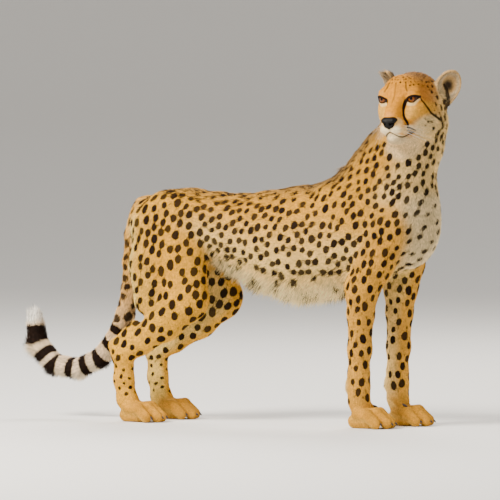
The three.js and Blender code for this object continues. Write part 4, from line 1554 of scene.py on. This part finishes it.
def eye_material():
    m = Nodes("eye")
    place = m.add("ShaderNodeSeparateXYZ", {0: m.attribute("gaze").outputs["Vector"]})
    off, around, _ = place.outputs
    rays = {0: m.math("MULTIPLY", around, 9.0), 1: m.math("MULTIPLY", off, 0.25)}
    fibres = m.noise(2.2, 4.0, m.add("ShaderNodeCombineXYZ", rays).outputs[0])
    amber = m.mix(fibres, colour_of((72, 34, 10)), colour_of((146, 84, 30)))
    ring = m.mix(m.spread(off, 7.6, 11.2, 0.0, 1.0), amber, colour_of((24, 11, 6)))
    white = m.mix(m.spread(off, 11.0, 12.0, 0.0, 1.0), ring, colour_of((70, 46, 34)))
    pupil = m.spread(off, 3.9, 4.5, 0.0, 1.0)
    m.set(Base_Color=m.mix(pupil, colour_of((4, 3, 3)), white))
    m.set(Roughness=m.spread(fibres, 0.2, 0.8, 0.10, 0.16))
    m.set(Specular_IOR_Level=0.12, Coat_Weight=0.25, Coat_Roughness=0.03, Coat_IOR=1.3)
    return m.material


def claw_material():
    m = Nodes("claw")
    length = m.attribute("along").outputs["Fac"]
    horn = m.mix(length, colour_of((92, 76, 62)), colour_of((34, 28, 24)))
    m.set(Base_Color=m.mix(m.noise(420.0), horn, colour_of((54, 45, 38))))
    m.set(Roughness=m.spread(m.noise(300.0), 0.3, 0.7, 0.35, 0.5))
    m.bump(m.noise(800.0), 0.2, 0.0003)
    return m.material


def whisker_material():
    m = Nodes("whisker")
    length = m.attribute("along").outputs["Fac"]
    m.set(Base_Color=m.mix(length, colour_of((206, 196, 178)), colour_of((250, 248, 242))))
    m.set(Roughness=m.spread(m.noise(500.0), 0.3, 0.7, 0.35, 0.5))
    return m.material


# ------------------------------------------------------------------ nose, eyes, claws, whiskers


def leather_field(q):
    """The nose leather in the head's frame: wings, nostrils and the cleft under them."""
    m = mirrored(q)
    d = oval(q - [53, 0, -65], [13, 22, 18])
    d = smooth_min(d, oval(m - [50, 14, -59], [14, 11, 10]), 8)
    edge = (m[:, 1] - 4 - 0.85 * (m[:, 2] + 83)) / 1.31  # narrows to the cleft
    d = smooth_max(d, edge, 5)
    d = smooth_max(d, -oval(m - [66, 9.5, -67], [8, 4.6, 4.0]), 2)
    d = smooth_max(d, -oval(m - [62, 15.5, -65.5], [7, 5, 1.8]), 2)
    return smooth_max(d, -tube(q, [[69, 0, -65], [63, 0, -85]], 0.9), 2)


def make_nose(material):
    vertices, triangles = surface_net(leather_field, (30, -34, -92), (76, 34, -40), 1.1)
    vertices = from_head(settle(leather_field, vertices, 0.4))
    new_piece("nose_leather", vertices, triangles, material, ["nose"])


CORNEA = {"radius": 12.2, "rise": 1.7}
EYE_RINGS, EYE_SIDES = 40, 64


def make_eye(side, material):
    """A ball with a bulging cornea, turned about the way it looks."""
    a = math.radians(GAZE_OUT)
    ahead = unit(np.array([math.cos(a), side * math.sin(a), GAZE_UP]))
    across = unit(np.cross([0, 0, 1], ahead))
    up = np.cross(ahead, across)
    middle = EYE_AT * [1, side, 1]
    cornea_at = EYE_RADIUS + CORNEA["rise"] - CORNEA["radius"]
    around = np.arange(EYE_SIDES) / EYE_SIDES * math.tau
    ring = np.cos(around)[:, None] * across + np.sin(around)[:, None] * up
    rows, gaze = [], []
    for n in range(EYE_RINGS + 1):
        t = math.pi * (n / EYE_RINGS) ** 1.5
        reach = EYE_RADIUS
        front = cornea_at * math.cos(t)
        inside = CORNEA["radius"] ** 2 - (cornea_at * math.sin(t)) ** 2
        if inside > 0 and math.cos(t) > 0:
            reach = max(reach, front + math.sqrt(inside))
        rows.append(middle + reach * (math.cos(t) * ahead + math.sin(t) * ring))
        off = EYE_RADIUS * math.sin(t) if t < math.pi / 2 else EYE_RADIUS * 2
        gaze.append(np.stack([np.full(EYE_SIDES, off), np.sin(around * 3), 0 * around], axis=1))
    vertices, quads = from_head(np.concatenate(rows)), rings_of_quads(EYE_RINGS + 1, EYE_SIDES)
    name = "eye_left" if side > 0 else "eye_right"
    piece = new_piece(f"{name}_ball", vertices, quads, material, [name])
    store(piece, "gaze", "FLOAT_VECTOR", np.concatenate(gaze))


def rings_of_quads(rings, sides):
    i, j = np.meshgrid(np.arange(rings - 1), np.arange(sides), indexing="ij")
    k = (j + 1) % sides
    here, beyond = i * sides, (i + 1) * sides
    return np.stack([here + j, beyond + j, beyond + k, here + k], axis=-1).reshape(-1, 4)


def tapered(points, radii, sides, flat=1.0):
    """Rings of a tapered tube along points, with how far along each vertex is."""
    points = np.array(points, float)
    step = unit(np.gradient(points, axis=0))
    across = unit(np.cross(step, [0.05, 0.02, 1.0]))
    up = np.cross(across, step)
    around = (np.arange(sides) + 0.5) / sides * math.tau
    aside = np.cos(around)[None, :, None] * across[:, None] * flat
    ring = aside + np.sin(around)[None, :, None] * up[:, None]
    vertices = points[:, None] + ring * np.array(radii)[:, None, None]
    along = np.repeat(np.linspace(0, 1, len(points)), sides)
    return vertices.reshape(-1, 3), along


def tubes_piece(name, tubes, sides, material, replaced=()):
    """One piece of all the tubes, which stores how far along its tube each vertex is."""
    vertices, along = (np.concatenate(part) for part in zip(*tubes))
    starts = np.cumsum([0, *(len(v) for v, _ in tubes)])
    faces = [rings_of_quads(len(v) // sides, sides) + at for (v, _), at in zip(tubes, starts)]
    piece = new_piece(name, vertices, np.concatenate(faces), material, replaced)
    store(piece, "along", "FLOAT", along)


CLAW = {"root": 2, "reach": 20, "arch": 1.35, "rise": 2.5, "drop": 8.5, "radius": 3.9, "flat": 0.72}
CLAW_POINT = 0.25
CLAW_LOWEST = 1.2
CLAW_RINGS, CLAW_SIDES = 10, 10
WHISKER_ROWS, WHISKERS_A_ROW, WHISKER_SIDES = 4, 4, 4


def make_claws(name, paw, side, toes, material):
    """Blunt curved claws, one to a toe, that stay out as a cheetah's do."""
    t = np.linspace(0, 1, CLAW_RINGS)
    reach = CLAW["root"] + CLAW["reach"] * np.sin(t * CLAW["arch"]) / math.sin(CLAW["arch"])
    drop = CLAW["rise"] - CLAW["drop"] * t**2
    radii = CLAW["radius"] * np.maximum(1 - t**1.7, 0.0) ** 0.7 + CLAW_POINT
    tubes = []
    for toe in toes:
        x, out, up = toe[-1][:3]
        across = np.full(CLAW_RINGS, paw[1] + side * out)
        height = np.maximum(up + drop, CLAW_LOWEST)
        points = np.stack([paw[0] + x + reach, across, height], axis=1)
        tubes.append(tapered(points, radii, CLAW_SIDES, CLAW["flat"]))
    nodes = [f"claw_{name}_{n + 1}" for n in range(len(toes))]
    tubes_piece(f"claws_{name}", tubes, CLAW_SIDES, material, nodes)


def make_whiskers(material):
    random = np.random.default_rng(5)
    t = np.linspace(0, 1, 7)[:, None]
    radii = 0.3 * (1 - 0.8 * t[:, 0])
    tubes = []
    for side in (-1, 1):
        for row in range(WHISKER_ROWS):
            for n in range(WHISKERS_A_ROW):
                root = np.array([42 - 6.5 * n, 28 + 2.6 * n - row, -72 - 6 * row - n])
                slope_up = -0.12 - 0.12 * row + random.normal(0, 0.08)
                aim = unit(np.array([-0.15 - 0.16 * n, 0.9, slope_up]))
                length = random.uniform(42, 62) + 5 * n
                points = root + aim * length * t + np.array([-0.42, 0, -0.22]) * length * t**2
                vertices, along = tapered(points * [1, side, 1], radii, WHISKER_SIDES)
                tubes.append((from_head(vertices), along))
    tubes_piece("whiskers", tubes, WHISKER_SIDES, material)


# ------------------------------------------------------------------ the scene


# How the names of the nodes that the skin replaces begin.
FLESH = (
    "trunk", "neck", "head", "ear_", "tail_", "foreleg_", "forepaw_", "thigh_", "shank_", "hindpaw_",
)


def make_skin_piece(skin, material):
    nodes = [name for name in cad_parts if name.startswith(FLESH)]
    piece = new_piece("skin", skin.p, skin.triangles, material, nodes)
    mark, ink = all_marks(skin.p, skin.spots)
    # the skin takes part of the painted shade at the tufts' roots
    lot, along = np.full(len(mark), 0.5), np.full(len(mark), 0.45)
    store_looks(piece, skin.ground, lot, mark, ink, along)
    unwrap(piece)


def plain_material(name, rgb, roughness):
    m = Nodes(name)
    m.set(Base_Color=colour_of(rgb), Roughness=roughness)
    return m.material


CAMERA_AZIMUTH, CAMERA_ELEVATION, CAMERA_DISTANCE = 25, 2.5, 24
VIEW_MIDDLE = np.array([-0.360, 0.4956])  # across and up, in the animal's frame, in metres
VIEW_HEIGHT = 1.4  # of what the picture shows, in metres
# The lights' names, azimuths, elevations, distances, sizes, powers and colours.
LIGHTS = [
    ("key", -26, 40, 5.0, 2.0, 610, (1.0, 0.94, 0.85)),
    ("fill", 85, 22, 6.0, 3.5, 80, (1.0, 0.98, 0.95)),
    ("rim", 190, 45, 5.0, 2.5, 240, (1.0, 0.95, 0.88)),
]
LIGHTS_AIM_HEIGHT = 0.5


def toward(azimuth, elevation):
    """The direction from the model to a camera or a light."""
    a, e = math.radians(azimuth), math.radians(elevation)
    return np.array([math.sin(a) * math.cos(e), -math.cos(a) * math.cos(e), math.sin(e)])


def make_camera():
    a = math.radians(CAMERA_AZIMUTH)
    across = np.array([math.cos(a), math.sin(a), 0])
    back = toward(CAMERA_AZIMUTH, CAMERA_ELEVATION)
    target = across * VIEW_MIDDLE[0] + SHIFT + np.array([0, 0, VIEW_MIDDLE[1]])
    data = bpy.data.cameras.new("camera")
    data.lens = data.sensor_width * CAMERA_DISTANCE / VIEW_HEIGHT
    camera = placed("camera", data)
    camera.location = Vector(target + back * CAMERA_DISTANCE)
    camera.rotation_euler = Vector(back).to_track_quat("Z", "Y").to_euler()
    bpy.context.scene.camera = camera


def make_light(name, azimuth, elevation, distance, size, power, colour):
    back = Vector(toward(azimuth, elevation))
    data = bpy.data.lights.new(name, "AREA")
    data.size = size
    data.energy = power
    data.color = colour
    light = placed(name, data)
    light.location = Vector((0, 0, LIGHTS_AIM_HEIGHT)) + back * distance
    light.rotation_euler = back.to_track_quat("Z", "Y").to_euler()


def make_stage():
    """A pale floor that curves up into a pale backdrop on every side."""
    sides, start, bend, top = 96, 30.0, 8.0, 14.0
    curve = [math.radians(90 * n / 16) for n in range(17)]
    radii = [0.0, 3.0, 9.0, *(start + bend * math.sin(a) for a in curve), start + bend]
    heights = [0.0, 0.0, 0.0, *(bend * (1 - math.cos(a)) for a in curve), top]
    around = np.arange(sides) / sides * math.tau
    circle = np.stack([np.cos(around), np.sin(around), 0 * around], axis=1)
    rings = [r * circle + [0, 0, h] for r, h in zip(radii, heights)]
    mesh = mesh_of("stage", np.concatenate(rings), rings_of_quads(len(radii), sides)[:, ::-1])
    mesh.shade_smooth()
    mesh.materials.append(plain_material("stage", (240, 238, 234), 0.85))
    placed("stage", mesh)


def make_world():
    world = bpy.data.worlds.new("studio")
    world.use_nodes = True
    background = world.node_tree.nodes["Background"]
    background.inputs["Color"].default_value = (1.0, 0.97, 0.93, 1)
    background.inputs["Strength"].default_value = 0.62
    bpy.context.scene.world = world


make_camera()
make_world()
make_stage()
for light in LIGHTS:
    make_light(*light)

skin = Skin()
make_skin_piece(skin, coat_material("skin", True))
hair = coat_material("coat", False)
for zone in range(len(ZONES)):
    make_coat(skin, zone, hair)
make_nose(nose_material())
eyes = eye_material()
for side in (-1, 1):
    make_eye(side, eyes)
horn = claw_material()
for side, word in ((-1, "right"), (1, "left")):
    make_claws(f"forepaw_{word}", foreleg(side)["paw"], side, [*TOES, DEWCLAW_TOE], horn)
    make_claws(f"hindpaw_{word}", hind_leg(side)["paw"], side, TOES, horn)
make_whiskers(whisker_material())
